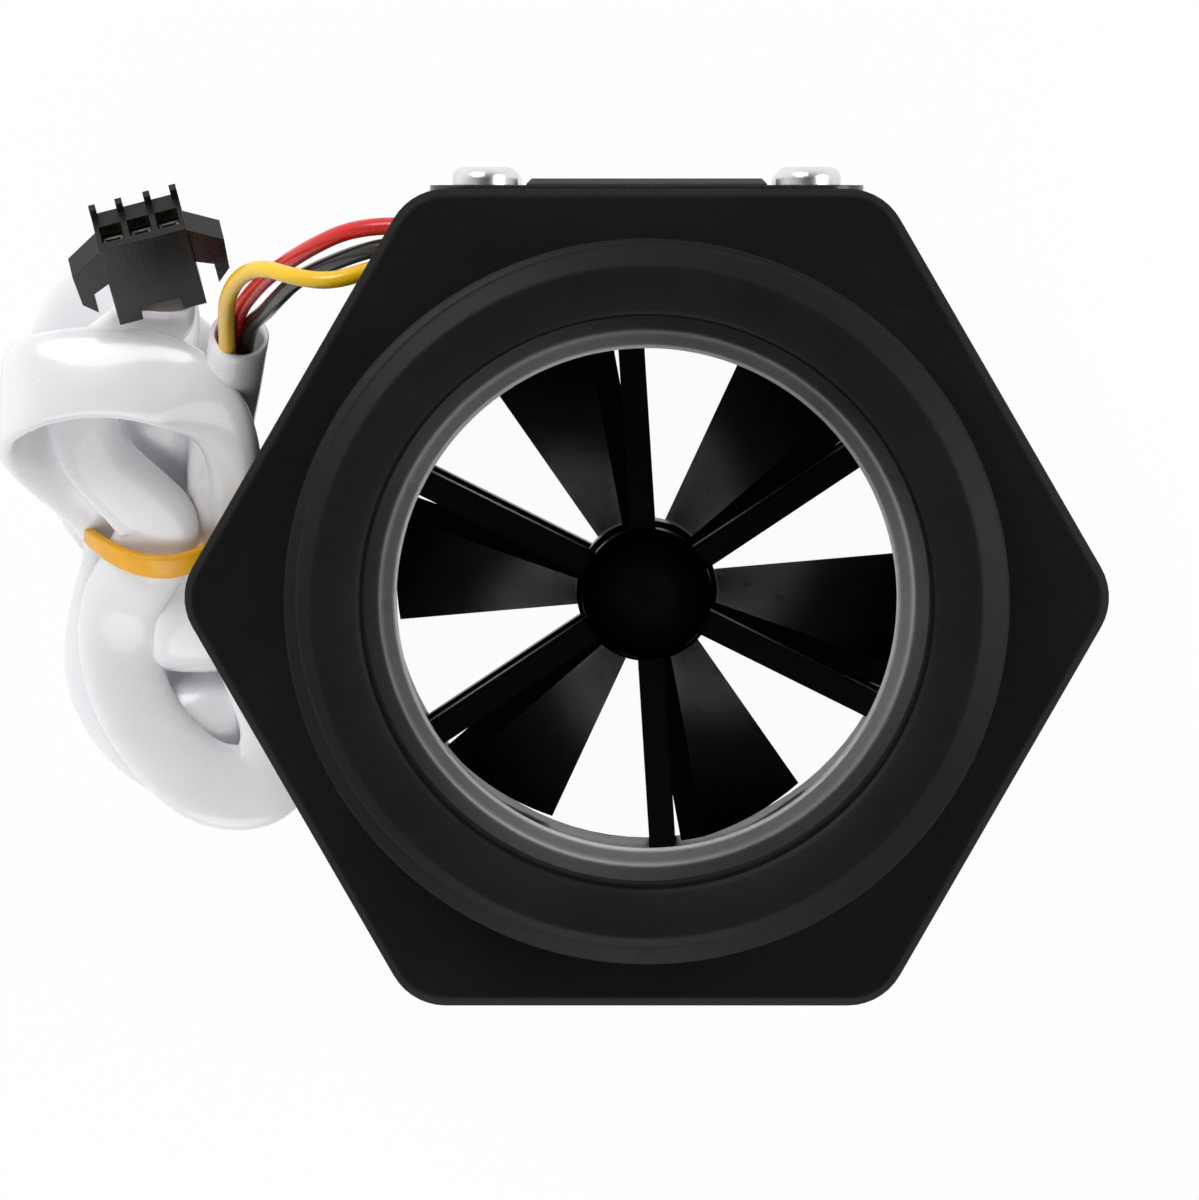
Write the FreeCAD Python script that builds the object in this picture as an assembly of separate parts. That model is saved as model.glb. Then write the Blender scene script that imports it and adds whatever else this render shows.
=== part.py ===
"""Turbine flow meter, G2 / DN50, with a Hall sensor and a plug-ended lead.

Frame: millimetres, +Z up along the flow axis.  The meter stands on its outlet end; the origin is
the centre of that end face.  +Y is the normal of the hex flat that carries the sensor cover, and
the lead leaves the body towards -X.
"""
import FreeCAD
import Part
import math
import os

V = FreeCAD.Vector
Z_AXIS = V(0, 0, 1)

# ---------------------------------------------------------------- body
overall_length = 120.0
hex_length = 80.0
hex_flats = 68.0
hex_corner_radius = 5.0
hex_edge_chamfer = 0.6
thread_major_d = 59.614        # G2 parallel pipe thread
thread_depth = 1.479
thread_relief_length = 2.6
thread_end_chamfer = 2.2

# ---------------------------------------------------------------- bores
mouth_d = 46.9                 # clear diameter at both ends
mouth_edge_radius = 0.6
bore_d = 44.3                  # measuring bore that the rotor turns in
inlet_mouth_depth = 17.6       # from the inlet face to the shoulder that the ring seats on
outlet_mouth_depth = 32.5      # from the outlet face to the end of the measuring bore
slot_sides_clearance = 0.1
slot_end_land = 1.5            # wall left under the guide slots

# ---------------------------------------------------------------- retaining ring
ring_bore_d = 41.5
ring_height = 1.6
ring_land_width = 1.4
ring_slope_height = 1.0
ring_groove_depth = 0.3        # radial step of the seat that the ring snaps into
ring_groove_play = 0.1         # the seat is this much longer than the ring
press_clearance = 0.02         # radial, parts pressed or bonded into a seat

# ---------------------------------------------------------------- spiders
vane_count = 6
vane_angle = 33.6
vane_thickness = 2.2
vane_foot_height = 0.85        # how far each foot enters its slot
inlet_vane_length = 11.0
outlet_vane_length = 9.5
spider_hub_d = 11.0
spider_nose_length = 3.0
outlet_nose_setback = 0.3      # the outlet nose stays this far inside the measuring bore

# ---------------------------------------------------------------- rotor
blade_count = 6
blade_angle = 40.5             # leading edge, seen from the inlet
blade_twist = 24.5             # further round at the trailing edge
blade_thickness = 2.0
rotor_length = 22.0
rotor_tip_clearance = 0.65
rotor_hub_d = 12.0
rotor_hub_overhang = 0.5
rotor_hub_chamfer = 0.8
spider_gap = 2.2               # axial, from blade edges to vane edges
end_float = 0.3                # axial play of the rotor at each end
shaft_d = 2.5
shaft_end_gap = 0.6
bearing_d = 6.0
bearing_length = 6.0
bearing_running_clearance = 0.04
washer_d = 5.6
washer_thickness = 0.5
washer_bore_clearance = 0.1
magnet_d = 1.4
magnet_length = 5.0
magnet_cover = 0.4             # rotor plastic over the magnet at the blade tip

# ---------------------------------------------------------------- sensor pocket and cover
cover_width = 36.5
cover_length = 54.0
cover_corner_radius = 3.0
cover_flange = 1.4
cover_proud = 0.4
cover_fit = 0.15
panel_width = 20.3
panel_length = 42.0
panel_height = 0.6
panel_chamfer = 0.45
gasket_thickness = 0.6
pocket_width = 19.0
pocket_length = 36.0
pocket_depth = 7.5             # from the flat
pocket_corner_radius = 1.5
gland_seat_length = 12.0
screw_spacing_x = 27.2
screw_spacing_z = 44.0
screw_d = 2.9
screw_head_d = 5.5
screw_head_height = 1.55
screw_reach = 8.0              # below the underside of the cover
screw_hole_clearance = 0.15
pilot_clearance = 0.02
cross_slot_width = 0.9
cross_slot_span = 3.0
cross_slot_depth = 0.8

# ---------------------------------------------------------------- sensor board
board_side_clearance = 0.7     # from the board's edges to the pocket's walls
board_end_clearance = 1.0
board_thickness = 1.2
board_post_height = 1.9
board_post_d = 3.0
board_post_inset = 3.0
hall_width = 4.1
hall_height = 3.0
hall_thickness = 1.5
hall_lead_width = 0.45
hall_lead_pitch = 1.27
pad_width = 2.0
pad_height = 1.5
pad_gap = 0.12                 # between a wire end and its pad
lead_pitch_at_board = 3.4
resistor_size = (3.2, 0.6, 1.6)
resistor_height = 9.0          # above the middle of the board
capacitor_size = (2.0, 0.8, 1.25)
capacitor_height = -11.0
diode_size = (3.6, 1.1, 1.8)
diode_height = 2.0

# ---------------------------------------------------------------- lead
wire_d = 1.5
gland_low = 26.3
gland_high = 32.6
gland_width = 3.8
gland_inner_x = -18.9
trough_floor = 26.9
trough_width = 9.0
sleeve_d = 5.2
sleeve_bore = 4.4
band_width = 2.0
band_thickness = 0.8
band_centre_y = 2.6
band_centre_z = 8.9
band_outline_points = 20
band_tilt = 12.0               # degrees, the band sits askew round the hank

# ---------------------------------------------------------------- connector
plug_width = 7.8
plug_thickness = 4.0
plug_length = 11.4
plug_pitch = 2.5
plug_ways = 3
plug_cavity_width = 1.95
plug_cavity_height = 1.75
plug_cavity_offset = -0.4       # towards the open side
plug_notch_width = 3.6
plug_notch_height = 1.8
prong_width = 0.6
prong_height = 1.4
arm_thickness = 2.2
arm_root_setback = 1.2         # from the mating end
arm_overlap = 0.3              # how far the arm enters the housing's side
arm_spread = 2.9               # from the side to the elbow
arm_elbow = 3.0                # down from the root
arm_heel_spread = 2.7
arm_heel = 7.2
arm_hook_spread = 1.5
arm_hook = 8.9
arm_hook_inside = 6.1
arm_web_end = 4.9
plug_place = (-42.6, 25.1, 30.6)
plug_along = (-0.135, 0.564, 0.815)
plug_across = (0.967, 0.255, 0.0)
contact_wall = 0.25
contact_clearance = 0.1
contact_setback = 1.6
contact_length = 7.6

# ---------------------------------------------------------------- derived places
hex_bottom = (overall_length - hex_length) / 2.0
hex_top = hex_bottom + hex_length
mid_z = overall_length / 2.0
flat_y = hex_flats / 2.0
thread_r = thread_major_d / 2.0
mouth_r = mouth_d / 2.0
bore_r = bore_d / 2.0
ring_seat_z = overall_length - inlet_mouth_depth
ring_top_z = ring_seat_z + ring_height
ring_seat_r = mouth_r + ring_groove_depth
ring_seat_top = ring_top_z + ring_groove_play
outlet_bore_z = outlet_mouth_depth
slot_floor_z = outlet_bore_z + slot_end_land
slot_r = bore_r + vane_foot_height + press_clearance
foot_r = bore_r + vane_foot_height
outlet_nose_length = slot_end_land - outlet_nose_setback
outlet_vane_top = slot_floor_z + outlet_vane_length
rotor_bottom = outlet_vane_top + spider_gap
rotor_top = rotor_bottom + rotor_length
inlet_vane_bottom = rotor_top + spider_gap
inlet_vane_top = inlet_vane_bottom + inlet_vane_length
rotor_mid = (rotor_bottom + rotor_top) / 2.0
rotor_tip_r = bore_r - rotor_tip_clearance
spider_back_land = spider_gap - rotor_hub_overhang - washer_thickness - end_float
recess_depth = gasket_thickness + cover_flange - cover_proud
recess_floor_y = flat_y - recess_depth
flange_bottom_y = recess_floor_y + gasket_thickness
flange_top_y = flange_bottom_y + cover_flange
pocket_floor_y = flat_y - pocket_depth
board_width = pocket_width - 2 * board_side_clearance
board_length = pocket_length - 2 * board_end_clearance
board_bottom_y = pocket_floor_y + board_post_height
board_top_y = board_bottom_y + board_thickness
screw_hole_d = screw_d + 2 * screw_hole_clearance


# ================================================================ helpers
def cylinder(radius, height, base, direction=Z_AXIS):
    """Solid cylinder from its base point along a direction."""
    return Part.makeCylinder(radius, height, base, direction)


def revolve_profile(points):
    """Solid of revolution about Z from (radius, z) corners."""
    corners = [V(r, 0, z) for r, z in points]
    wire = Part.makePolygon(corners + [corners[0]])
    return Part.Face(wire).revolve(V(0, 0, 0), Z_AXIS, 360)


def spin(shape, angle):
    """Copy of a shape turned about the flow axis by an angle in degrees."""
    turned = shape.copy()
    turned.rotate(V(0, 0, 0), Z_AXIS, angle)
    return turned


def rounded_plate(width, length, thickness, radius, bottom_y):
    """Plate in the X-Z plane, centred at mid height, with rounded corners, rising towards +Y."""
    plate = Part.makeBox(width, thickness, length, V(-width / 2, bottom_y, mid_z - length / 2))
    corner_edges = [e for e in plate.Edges if abs(e.tangentAt(e.FirstParameter).y) > 0.9]
    return plate.makeFillet(radius, corner_edges)


def fuse_all(shapes):
    """Union of a list of touching solids, with the seams removed."""
    result = shapes[0].multiFuse(shapes[1:])
    return result.removeSplitter()


def bounded(shape, index, low, high):
    """Edges of a shape whose centre lies between two values on one axis (0, 1, 2)."""
    return [e for e in shape.Edges if low <= e.CenterOfMass[index] <= high]


# ================================================================ housing
def hex_prism():
    """Hexagonal centre of the body, flats facing +Y and -Y, with rounded upright edges."""
    corner = hex_flats / 2 / math.cos(math.radians(30))
    turns = [math.radians(60 * i) for i in range(6)]
    points = [V(corner * math.cos(t), corner * math.sin(t), hex_bottom) for t in turns]
    prism = Part.Face(Part.makePolygon(points + [points[0]])).extrude(V(0, 0, hex_length))
    upright = [e for e in prism.Edges if abs(e.tangentAt(e.FirstParameter).z) > 0.9]
    prism = prism.makeFillet(hex_corner_radius, upright)
    rims = [e for z in (hex_bottom, hex_top) for e in bounded(prism, 2, z - 0.01, z + 0.01)]
    return prism.makeChamfer(hex_edge_chamfer, rims)


def threaded_ends():
    """Both G2 spigots as one turned core: end chamfer, thread land and relief beside the hex."""
    relief_r = thread_r - thread_depth
    chamfer_r = thread_r - thread_end_chamfer
    chamfer_length = thread_end_chamfer * 0.6
    low_relief = hex_bottom - thread_relief_length
    high_relief = hex_top + thread_relief_length
    return revolve_profile([
        (0, 0), (chamfer_r, 0), (thread_r, chamfer_length),
        (thread_r, low_relief - thread_depth), (relief_r, low_relief),
        (relief_r, high_relief), (thread_r, high_relief + thread_depth),
        (thread_r, overall_length - chamfer_length), (chamfer_r, overall_length), (0, overall_length)])


def flow_passage():
    """The stepped bore: inlet mouth, measuring bore, outlet mouth, with softened mouth edges."""
    edge = mouth_edge_radius
    return revolve_profile([
        (0, -1), (mouth_r + edge, -1), (mouth_r + edge, 0),
        (mouth_r + edge * 0.3, edge * 0.3), (mouth_r, edge),
        (mouth_r, outlet_bore_z), (bore_r, outlet_bore_z), (bore_r, ring_seat_z),
        (ring_seat_r, ring_seat_z), (ring_seat_r, ring_seat_top),
        (mouth_r, ring_seat_top), (mouth_r, overall_length - edge),
        (mouth_r + edge * 0.3, overall_length - edge * 0.3), (mouth_r + edge, overall_length),
        (mouth_r + edge, overall_length + 1), (0, overall_length + 1)])


def guide_slots():
    """Axial slots in the measuring bore that the spider feet slide down from the inlet."""
    width = vane_thickness + 2 * slot_sides_clearance
    slab = Part.makeBox(slot_r, width, ring_seat_z - slot_floor_z, V(0, -width / 2, slot_floor_z))
    slot = slab.common(cylinder(slot_r, overall_length, V(0, 0, 0)))
    return [spin(slot, vane_angle + i * 360.0 / vane_count) for i in range(vane_count)]


def sensor_pocket():
    """Recess for cover and gasket, the pocket for the board, and the trough to the cable gland."""
    width = cover_width + 2 * cover_fit
    length = cover_length + 2 * cover_fit
    recess = rounded_plate(width, length, recess_depth + 1, cover_corner_radius, recess_floor_y)
    pocket = rounded_plate(pocket_width, pocket_length, pocket_depth + 1, pocket_corner_radius,
                           pocket_floor_y)
    trough = Part.makeBox(-gland_inner_x, recess_floor_y - trough_floor, trough_width,
                          V(gland_inner_x, trough_floor, mid_z - trough_width / 2))
    return [recess, pocket, trough]


def gland_seat(oversize=0.0):
    """Obround prism through the side wall that the rubber gland fills."""
    width = gland_width + 2 * oversize
    height = gland_high - gland_low + 2 * oversize
    box = Part.makeBox(gland_seat_length, height, width,
                       V(gland_inner_x - gland_seat_length, gland_low - oversize, mid_z - width / 2))
    along = [e for e in box.Edges if abs(e.tangentAt(e.FirstParameter).x) > 0.9]
    return box.makeFillet(width / 2 - 0.01, along)


def screw_places():
    """Centres (x, z) of the four cover screws."""
    return [(sx * screw_spacing_x / 2, mid_z + sz * screw_spacing_z / 2)
            for sx in (-1, 1) for sz in (-1, 1)]


def board_posts():
    """Four posts on the pocket floor that carry the board."""
    x = board_width / 2 - board_post_inset
    z = board_length / 2 - board_post_inset
    feet = [V(sx * x, pocket_floor_y, mid_z + sz * z) for sx in (-1, 1) for sz in (-1, 1)]
    return [cylinder(board_post_d / 2, board_post_height, foot, V(0, 1, 0)) for foot in feet]


def make_housing():
    """Glass-filled nylon body in one moulding."""
    body = hex_prism().fuse(threaded_ends())
    pilots = [cylinder(screw_d / 2 + pilot_clearance, screw_reach + 1, V(x, flat_y, z), V(0, -1, 0))
              for x, z in screw_places()]
    cuts = [flow_passage()] + guide_slots() + sensor_pocket() + [gland_seat()] + pilots
    body = body.cut(Part.makeCompound(cuts))
    return fuse_all([body] + board_posts())


# ================================================================ inlet ring, spiders, bearings
def make_retaining_ring():
    """Ring snapped into its seat on the inlet shoulder: flat inner land, sloped outer part."""
    outer = ring_seat_r - press_clearance
    inner = ring_bore_d / 2
    top = ring_top_z
    return revolve_profile([
        (inner, ring_seat_z), (outer, ring_seat_z), (outer, top - ring_slope_height),
        (inner + ring_land_width, top), (inner, top)])


def spider_vanes(bottom, top, foot_bottom, foot_top):
    """Six radial vanes between two heights, each with a foot that fills its guide slot."""
    vane = Part.makeBox(foot_r, vane_thickness, top - bottom, V(0, -vane_thickness / 2, bottom))
    foot = Part.makeBox(vane_foot_height + 1.0, vane_thickness, foot_top - foot_bottom,
                        V(bore_r, -vane_thickness / 2, foot_bottom))
    round_limit = cylinder(foot_r, overall_length, V(0, 0, 0))
    bore_wall = cylinder(bore_r, overall_length, V(0, 0, 0))
    foot = foot.common(round_limit).cut(bore_wall)
    vane = vane.common(round_limit)
    blade = vane.fuse(foot)
    return [spin(blade, vane_angle + i * 360.0 / vane_count) for i in range(vane_count)]


def nose(z, direction, length):
    """Rounded hub nose, an ellipse of revolution over the hub's full width."""
    r = spider_hub_d / 2
    ball = Part.makeSphere(r)
    stretch = FreeCAD.Matrix()
    stretch.scale(1.0, 1.0, length / r)
    shape = ball.transformGeometry(stretch)
    half = Part.makeBox(2 * r, 2 * r, length + 1, V(-r, -r, 0 if direction > 0 else -length - 1))
    shape = shape.common(half)
    shape.translate(V(0, 0, z))
    return shape


def make_inlet_spider():
    """Inlet stator: rounded nose, six vanes, bearing bore facing the rotor."""
    foot_top = ring_seat_z
    hub_bottom = inlet_vane_bottom - spider_back_land
    hub = cylinder(spider_hub_d / 2, inlet_vane_length + spider_back_land, V(0, 0, hub_bottom))
    vanes = spider_vanes(inlet_vane_bottom, inlet_vane_top, outlet_vane_top, foot_top)
    spider = fuse_all([hub, nose(inlet_vane_top, 1, spider_nose_length)] + vanes)
    depth = bearing_length + shaft_end_gap
    pocket = cylinder(bearing_d / 2 + press_clearance, depth, V(0, 0, hub_bottom))
    return spider.cut(pocket)


def make_outlet_spider():
    """Outlet stator, the mirror of the inlet one, standing on the ends of the guide slots."""
    hub = cylinder(spider_hub_d / 2, outlet_vane_length + spider_back_land, V(0, 0, slot_floor_z))
    vanes = spider_vanes(slot_floor_z, outlet_vane_top, slot_floor_z, outlet_vane_top)
    spider = fuse_all([hub, nose(slot_floor_z, -1, outlet_nose_length)] + vanes)
    depth = bearing_length + shaft_end_gap
    pocket_floor = outlet_vane_top + spider_back_land - depth
    pocket = cylinder(bearing_d / 2 + press_clearance, depth, V(0, 0, pocket_floor))
    return spider.cut(pocket)


def make_bearing(z):
    """Plain bush, centred on the flow axis, standing on z."""
    bush = cylinder(bearing_d / 2, bearing_length, V(0, 0, z))
    return bush.cut(cylinder(shaft_d / 2 + bearing_running_clearance, bearing_length, V(0, 0, z)))


# ================================================================ rotor
def helicoid_blade():
    """One blade: a radial bar swept along the axis while an outer helix turns it."""
    pitch = rotor_length * 360.0 / blade_twist
    helix = Part.makeLongHelix(pitch, rotor_length, rotor_tip_r, 0, True)
    axis = Part.Wire(Part.LineSegment(V(0, 0, 0), V(0, 0, rotor_length)).toShape())
    root = shaft_d / 2 + 0.5
    half = blade_thickness / 2
    corners = [V(root, -half, 0), V(rotor_tip_r + 1, -half, 0), V(rotor_tip_r + 1, half, 0), V(root, half, 0)]
    sweep = Part.BRepOffsetAPI.MakePipeShell(axis)
    sweep.setAuxiliarySpine(helix, True, 0)
    sweep.add(Part.makePolygon(corners + [corners[0]]))
    sweep.build()
    sweep.makeSolid()
    blade = sweep.shape()
    blade.translate(V(0, 0, rotor_bottom))
    blade = blade.common(cylinder(rotor_tip_r, overall_length, V(0, 0, 0)))
    return spin(blade, blade_angle + blade_twist)


def rotor_hub():
    """Hub of the rotor, chamfered at both ends."""
    length = rotor_length + 2 * rotor_hub_overhang
    hub = cylinder(rotor_hub_d / 2, length, V(0, 0, rotor_bottom - rotor_hub_overhang))
    rims = [e for e in hub.Edges if isinstance(e.Curve, Part.Circle)]
    return hub.makeChamfer(rotor_hub_chamfer, rims)


def magnet_rod(radius, reach):
    """Radial rod in the middle of a blade, ending below the blade's tip."""
    start = rotor_tip_r - magnet_cover - magnet_length
    rod = cylinder(radius, reach, V(start, 0, rotor_mid), V(1, 0, 0))
    return spin(rod, blade_angle + blade_twist / 2)


def make_rotor():
    """Six-blade turbine rotor with a through bore and two magnet pockets."""
    blade = helicoid_blade()
    blades = [spin(blade, i * 360.0 / blade_count) for i in range(blade_count)]
    rotor = fuse_all([rotor_hub()] + blades)
    rotor = rotor.cut(cylinder(shaft_d / 2 + press_clearance / 2, overall_length, V(0, 0, 0)))
    pocket = magnet_rod(magnet_d / 2 + press_clearance, magnet_length)
    return rotor.cut(Part.makeCompound([pocket, spin(pocket, 180)]))


def make_magnets():
    """Two rod magnets in opposite blades."""
    rod = magnet_rod(magnet_d / 2, magnet_length)
    return Part.makeCompound([rod, spin(rod, 180)])


def shaft_span():
    """Lowest and highest z of the shaft, short of the blind ends of both bearing pockets."""
    low = outlet_vane_top + spider_back_land - bearing_length
    high = inlet_vane_bottom - spider_back_land + bearing_length
    return low, high


def make_shaft():
    """Stainless shaft, pressed through the rotor, with chamfered ends."""
    low, high = shaft_span()
    shaft = cylinder(shaft_d / 2, high - low, V(0, 0, low))
    rims = [e for e in shaft.Edges if isinstance(e.Curve, Part.Circle)]
    return shaft.makeChamfer(0.25, rims)


def make_washers():
    """Thrust washers on the shaft, one against each end of the rotor hub."""
    bore = shaft_d / 2 + washer_bore_clearance
    places = [rotor_bottom - rotor_hub_overhang - washer_thickness, rotor_top + rotor_hub_overhang]
    return Part.makeCompound([
        cylinder(washer_d / 2, washer_thickness, V(0, 0, z)).cut(cylinder(bore, washer_thickness, V(0, 0, z)))
        for z in places])


# ================================================================ sensor cover and electronics
def make_cover():
    """Flanged cover with a raised chamfered panel and four screw holes."""
    flange = rounded_plate(cover_width, cover_length, cover_flange, cover_corner_radius, flange_bottom_y)
    panel = Part.makeBox(panel_width, panel_height, panel_length,
                         V(-panel_width / 2, flange_top_y, mid_z - panel_length / 2))
    top = flange_top_y + panel_height
    panel = panel.makeChamfer(panel_chamfer, bounded(panel, 1, top - 0.01, top + 0.01))
    cover = fuse_all([flange, panel])
    holes = [cylinder(screw_hole_d / 2, cover_flange + 2, V(x, flange_bottom_y - 1, z), V(0, 1, 0))
             for x, z in screw_places()]
    return cover.cut(Part.makeCompound(holes))


def make_gasket():
    """Flat rubber gasket under the flange, open over the pocket."""
    sheet = rounded_plate(cover_width, cover_length, gasket_thickness, cover_corner_radius, recess_floor_y)
    window = rounded_plate(pocket_width, pocket_length, gasket_thickness, pocket_corner_radius, recess_floor_y)
    holes = [cylinder(screw_hole_d / 2, gasket_thickness, V(x, recess_floor_y, z), V(0, 1, 0))
             for x, z in screw_places()]
    return sheet.cut(Part.makeCompound([window] + holes))


def cover_screw(x, z):
    """Pan-head screw with a cross recess, its head on the flange."""
    up = V(0, 1, 0)
    shank_length = cover_flange + screw_reach
    shank = cylinder(screw_d / 2, shank_length, V(x, flange_top_y - shank_length, z), up)
    head = cylinder(screw_head_d / 2, screw_head_height, V(x, flange_top_y, z), up)
    top = flange_top_y + screw_head_height
    rim = [e for e in head.Edges if isinstance(e.Curve, Part.Circle) and e.CenterOfMass.y > top - 0.01]
    head = head.makeFillet(screw_head_height * 0.6, rim)
    screw = head.fuse(shank)
    arms = [(cross_slot_span, cross_slot_width), (cross_slot_width, cross_slot_span)]
    slots = [Part.makeBox(dx, cross_slot_depth, dz, V(x - dx / 2, top - cross_slot_depth, z - dz / 2))
             for dx, dz in arms]
    return screw.cut(Part.makeCompound(slots))


def make_screws():
    """The four cover screws."""
    return Part.makeCompound([cover_screw(x, z) for x, z in screw_places()])


def make_board():
    """Sensor board on its four posts, with notches for the three Hall leads."""
    board = Part.makeBox(board_width, board_thickness, board_length,
                         V(-board_width / 2, board_bottom_y, mid_z - board_length / 2))
    holes = [cylinder(hall_lead_width * 0.8, board_thickness, V(x, board_bottom_y, z), V(0, 1, 0))
             for x, z in hall_lead_places()]
    return board.cut(Part.makeCompound(holes))


def hall_lead_places():
    """Centres (x, z) of the three Hall sensor leads where they pass the board."""
    z = rotor_mid + hall_height / 2 + 1.6
    return [(i * hall_lead_pitch, z) for i in (-1, 0, 1)]


def make_hall_sensor():
    """Flat Hall sensor under the board at the height of the rotor magnets, with bent leads."""
    body_y = board_bottom_y - hall_thickness - 0.1
    body = Part.makeBox(hall_width, hall_thickness, hall_height,
                        V(-hall_width / 2, body_y, rotor_mid - hall_height / 2))
    front = [e for e in body.Edges if e.CenterOfMass.y < body_y + 0.01 and abs(e.tangentAt(0).z) > 0.9]
    body = body.makeChamfer(0.4, front)
    half = hall_lead_width / 2
    level = body_y + hall_thickness * 0.55
    leads = []
    for x, z in hall_lead_places():
        low = rotor_mid + hall_height / 2 - 0.2
        run = Part.makeBox(hall_lead_width, hall_lead_width, z + half - low, V(x - half, level, low))
        rise = Part.makeBox(hall_lead_width, board_top_y + 0.6 - level, hall_lead_width,
                            V(x - half, level, z - half))
        leads.append(run.fuse(rise))
    return fuse_all([body] + leads)


def wire_start_z(index):
    """Height at which wire number -1, 0 or 1 meets its pad on the board."""
    return mid_z + index * lead_pitch_at_board


def make_components():
    """Solder pads for the wires and the few parts soldered to the board's outer face."""
    corner_x = wire_start_x + pad_gap
    pads = [Part.makeBox(pad_width, pad_height, pad_width,
                         V(corner_x, board_top_y, wire_start_z(i) - pad_width / 2)) for i in (-1, 0, 1)]
    chips = [(resistor_size, resistor_height), (capacitor_size, capacitor_height),
             (diode_size, diode_height)]
    return Part.makeCompound(pads + [Part.makeBox(*size, V(1.0, board_top_y, mid_z + height))
                                     for size, height in chips])


# ================================================================ cords
def rounded_route(name, points):
    """Wire of straight runs joined by tangent arcs, each as large as its two runs allow."""
    points = [V(*p) for p in points]
    edges = []
    radii = []
    here = points[0]
    for before, corner, after in zip(points, points[1:], points[2:]):
        back = before - corner
        ahead = after - corner
        shorter = min(back.Length, ahead.Length)
        back.normalize()
        ahead.normalize()
        half_turn = (math.pi - back.getAngle(ahead)) / 2
        trim = 0.45 * shorter
        radius = trim / math.tan(half_turn)
        start = corner + back * trim
        end = corner + ahead * trim
        inward = back + ahead
        inward.normalize()
        middle = corner + inward * (radius / math.cos(half_turn) - radius)
        edges.append(Part.LineSegment(here, start).toShape())
        edges.append(Part.Arc(start, middle, end).toShape())
        radii.append(round(radius, 1))
        here = end
    edges.append(Part.LineSegment(here, points[-1]).toShape())
    route = Part.Wire(edges)
    print(name, "length", round(route.Length, 1), "radii", radii)
    return route


def tube(name, points, diameter):
    """Round cord solid along a route, with its volume compared to section times length."""
    route = rounded_route(name, points)
    start = V(*points[0])
    heading = V(*points[1]) - start
    section = Part.Wire(Part.makeCircle(diameter / 2, start, heading))
    solid = route.makePipeShell([section], True, True)
    expected = math.pi * diameter ** 2 / 4 * route.Length
    print(name, "volume over section x length", round(solid.Volume / expected, 4), "valid", solid.isValid())
    return solid


wire_start_x = -8.2
wire_start_y = board_top_y + wire_d / 2 + 0.05


def inside(x, y, height):
    """Route point in or near the housing, its height given from the middle of the housing."""
    return (x, y, mid_z + height)


WIRE_ROUTES = {
    "wire_red": [
        (wire_start_x, wire_start_y, wire_start_z(1)), inside(-15.0, 30.8, 2.2),
        inside(-21.3, 31.2, 0.2), inside(-25.4, 30.8, -1.2),
        (-28.2, 29.6, 56.6), (-31.0, 28.0, 52.6), (-32.8, 26.7, 47.8), (-34.4, 25.0, 42.6),
        (-35.6, 22.3, 37.6), (-36.9, 16.0, 30.5), (-38.5, 10.2, 24.5)],
    "wire_black": [
        (wire_start_x, wire_start_y, wire_start_z(0)), inside(-15.4, 30.2, 0.2),
        inside(-22.3, 29.4, -0.2), inside(-25.0, 28.7, -2.0),
        (-27.6, 27.7, 55.0), (-30.2, 26.5, 50.8), (-32.0, 24.8, 46.2), (-33.3, 23.2, 41.6),
        (-34.3, 21.4, 37.8), (-35.6, 15.2, 30.9), (-37.2, 9.4, 24.9)],
    "wire_yellow": [
        (wire_start_x, wire_start_y, wire_start_z(-1)), inside(-16.0, 29.4, -1.6),
        inside(-23.4, 27.4, 0.1), inside(-27.0, 26.3, 0.4),
        (-30.2, 26.7, 58.8), (-33.0, 27.6, 55.4), (-35.0, 26.9, 51.4), (-36.2, 25.0, 46.4),
        (-36.5, 23.0, 41.8), (-36.6, 21.2, 38.5), (-37.9, 14.9, 31.5), (-39.5, 9.1, 25.5)],
}

SLEEVE_LEAD_ROUTE = [(-35.5, 21.7, 38.0), (-36.8, 15.4, 31.0), (-38.4, 9.6, 25.0), (-41.2, 4.4, 19.6)]
SLEEVE_TAIL_ROUTE = [(-42.5, 24.8, 30.2), (-41.9, 21.8, 26.1), (-42.2, 18.2, 22.8)]

# Sections of the hank's outer shape: y, centre x, half width, centre z, half height.
HANK_SECTIONS = [
    (-21.6, -34.5, 4.6, 4.6, 2.8),
    (-18.4, -37.0, 8.4, 5.0, 4.4),
    (-10.0, -40.4, 9.8, 6.7, 6.1),
    (0.0, -44.1, 6.6, 8.9, 7.3),
    (8.0, -45.0, 8.7, 10.6, 9.2),
    (14.0, -44.6, 11.5, 13.0, 12.2),
    (20.0, -44.2, 12.1, 14.6, 13.0),
    (24.6, -45.4, 9.6, 12.6, 10.0),
    (27.8, -46.5, 5.0, 11.0, 5.2),
]


def make_hank():
    """Closed solid of the outer shape of the folded sleeve."""
    count = 24
    rings = []
    for y, x, half_width, z, half_height in HANK_SECTIONS:
        turns = [2 * math.pi * i / count for i in range(count)]
        points = [V(x + half_width * math.cos(t), y, z + half_height * math.sin(t)) for t in turns]
        curve = Part.BSplineCurve()
        curve.interpolate(points, PeriodicFlag=True)
        rings.append(Part.Wire(curve.toShape()))
    return Part.makeLoft(rings, True, False)


def make_band(hank):
    """Rubber band round the waist of the hank, seated on it and sitting askew."""
    tilt = math.radians(band_tilt)
    normal = V(0, math.cos(tilt), math.sin(tilt))
    waist = hank.slice(normal, normal.dot(V(0, band_centre_y, band_centre_z)))[0]
    centre = waist.CenterOfMass
    outline = []
    for point in waist.discretize(band_outline_points + 1)[:-1]:
        outward = point - centre
        outline.append(centre + outward * (1 + band_thickness / outward.Length) - normal * (band_width / 2))
    curve = Part.BSplineCurve()
    curve.interpolate(outline, PeriodicFlag=True)
    return Part.Face(Part.Wire(curve.toShape())).extrude(normal * band_width).cut(hank)


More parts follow.
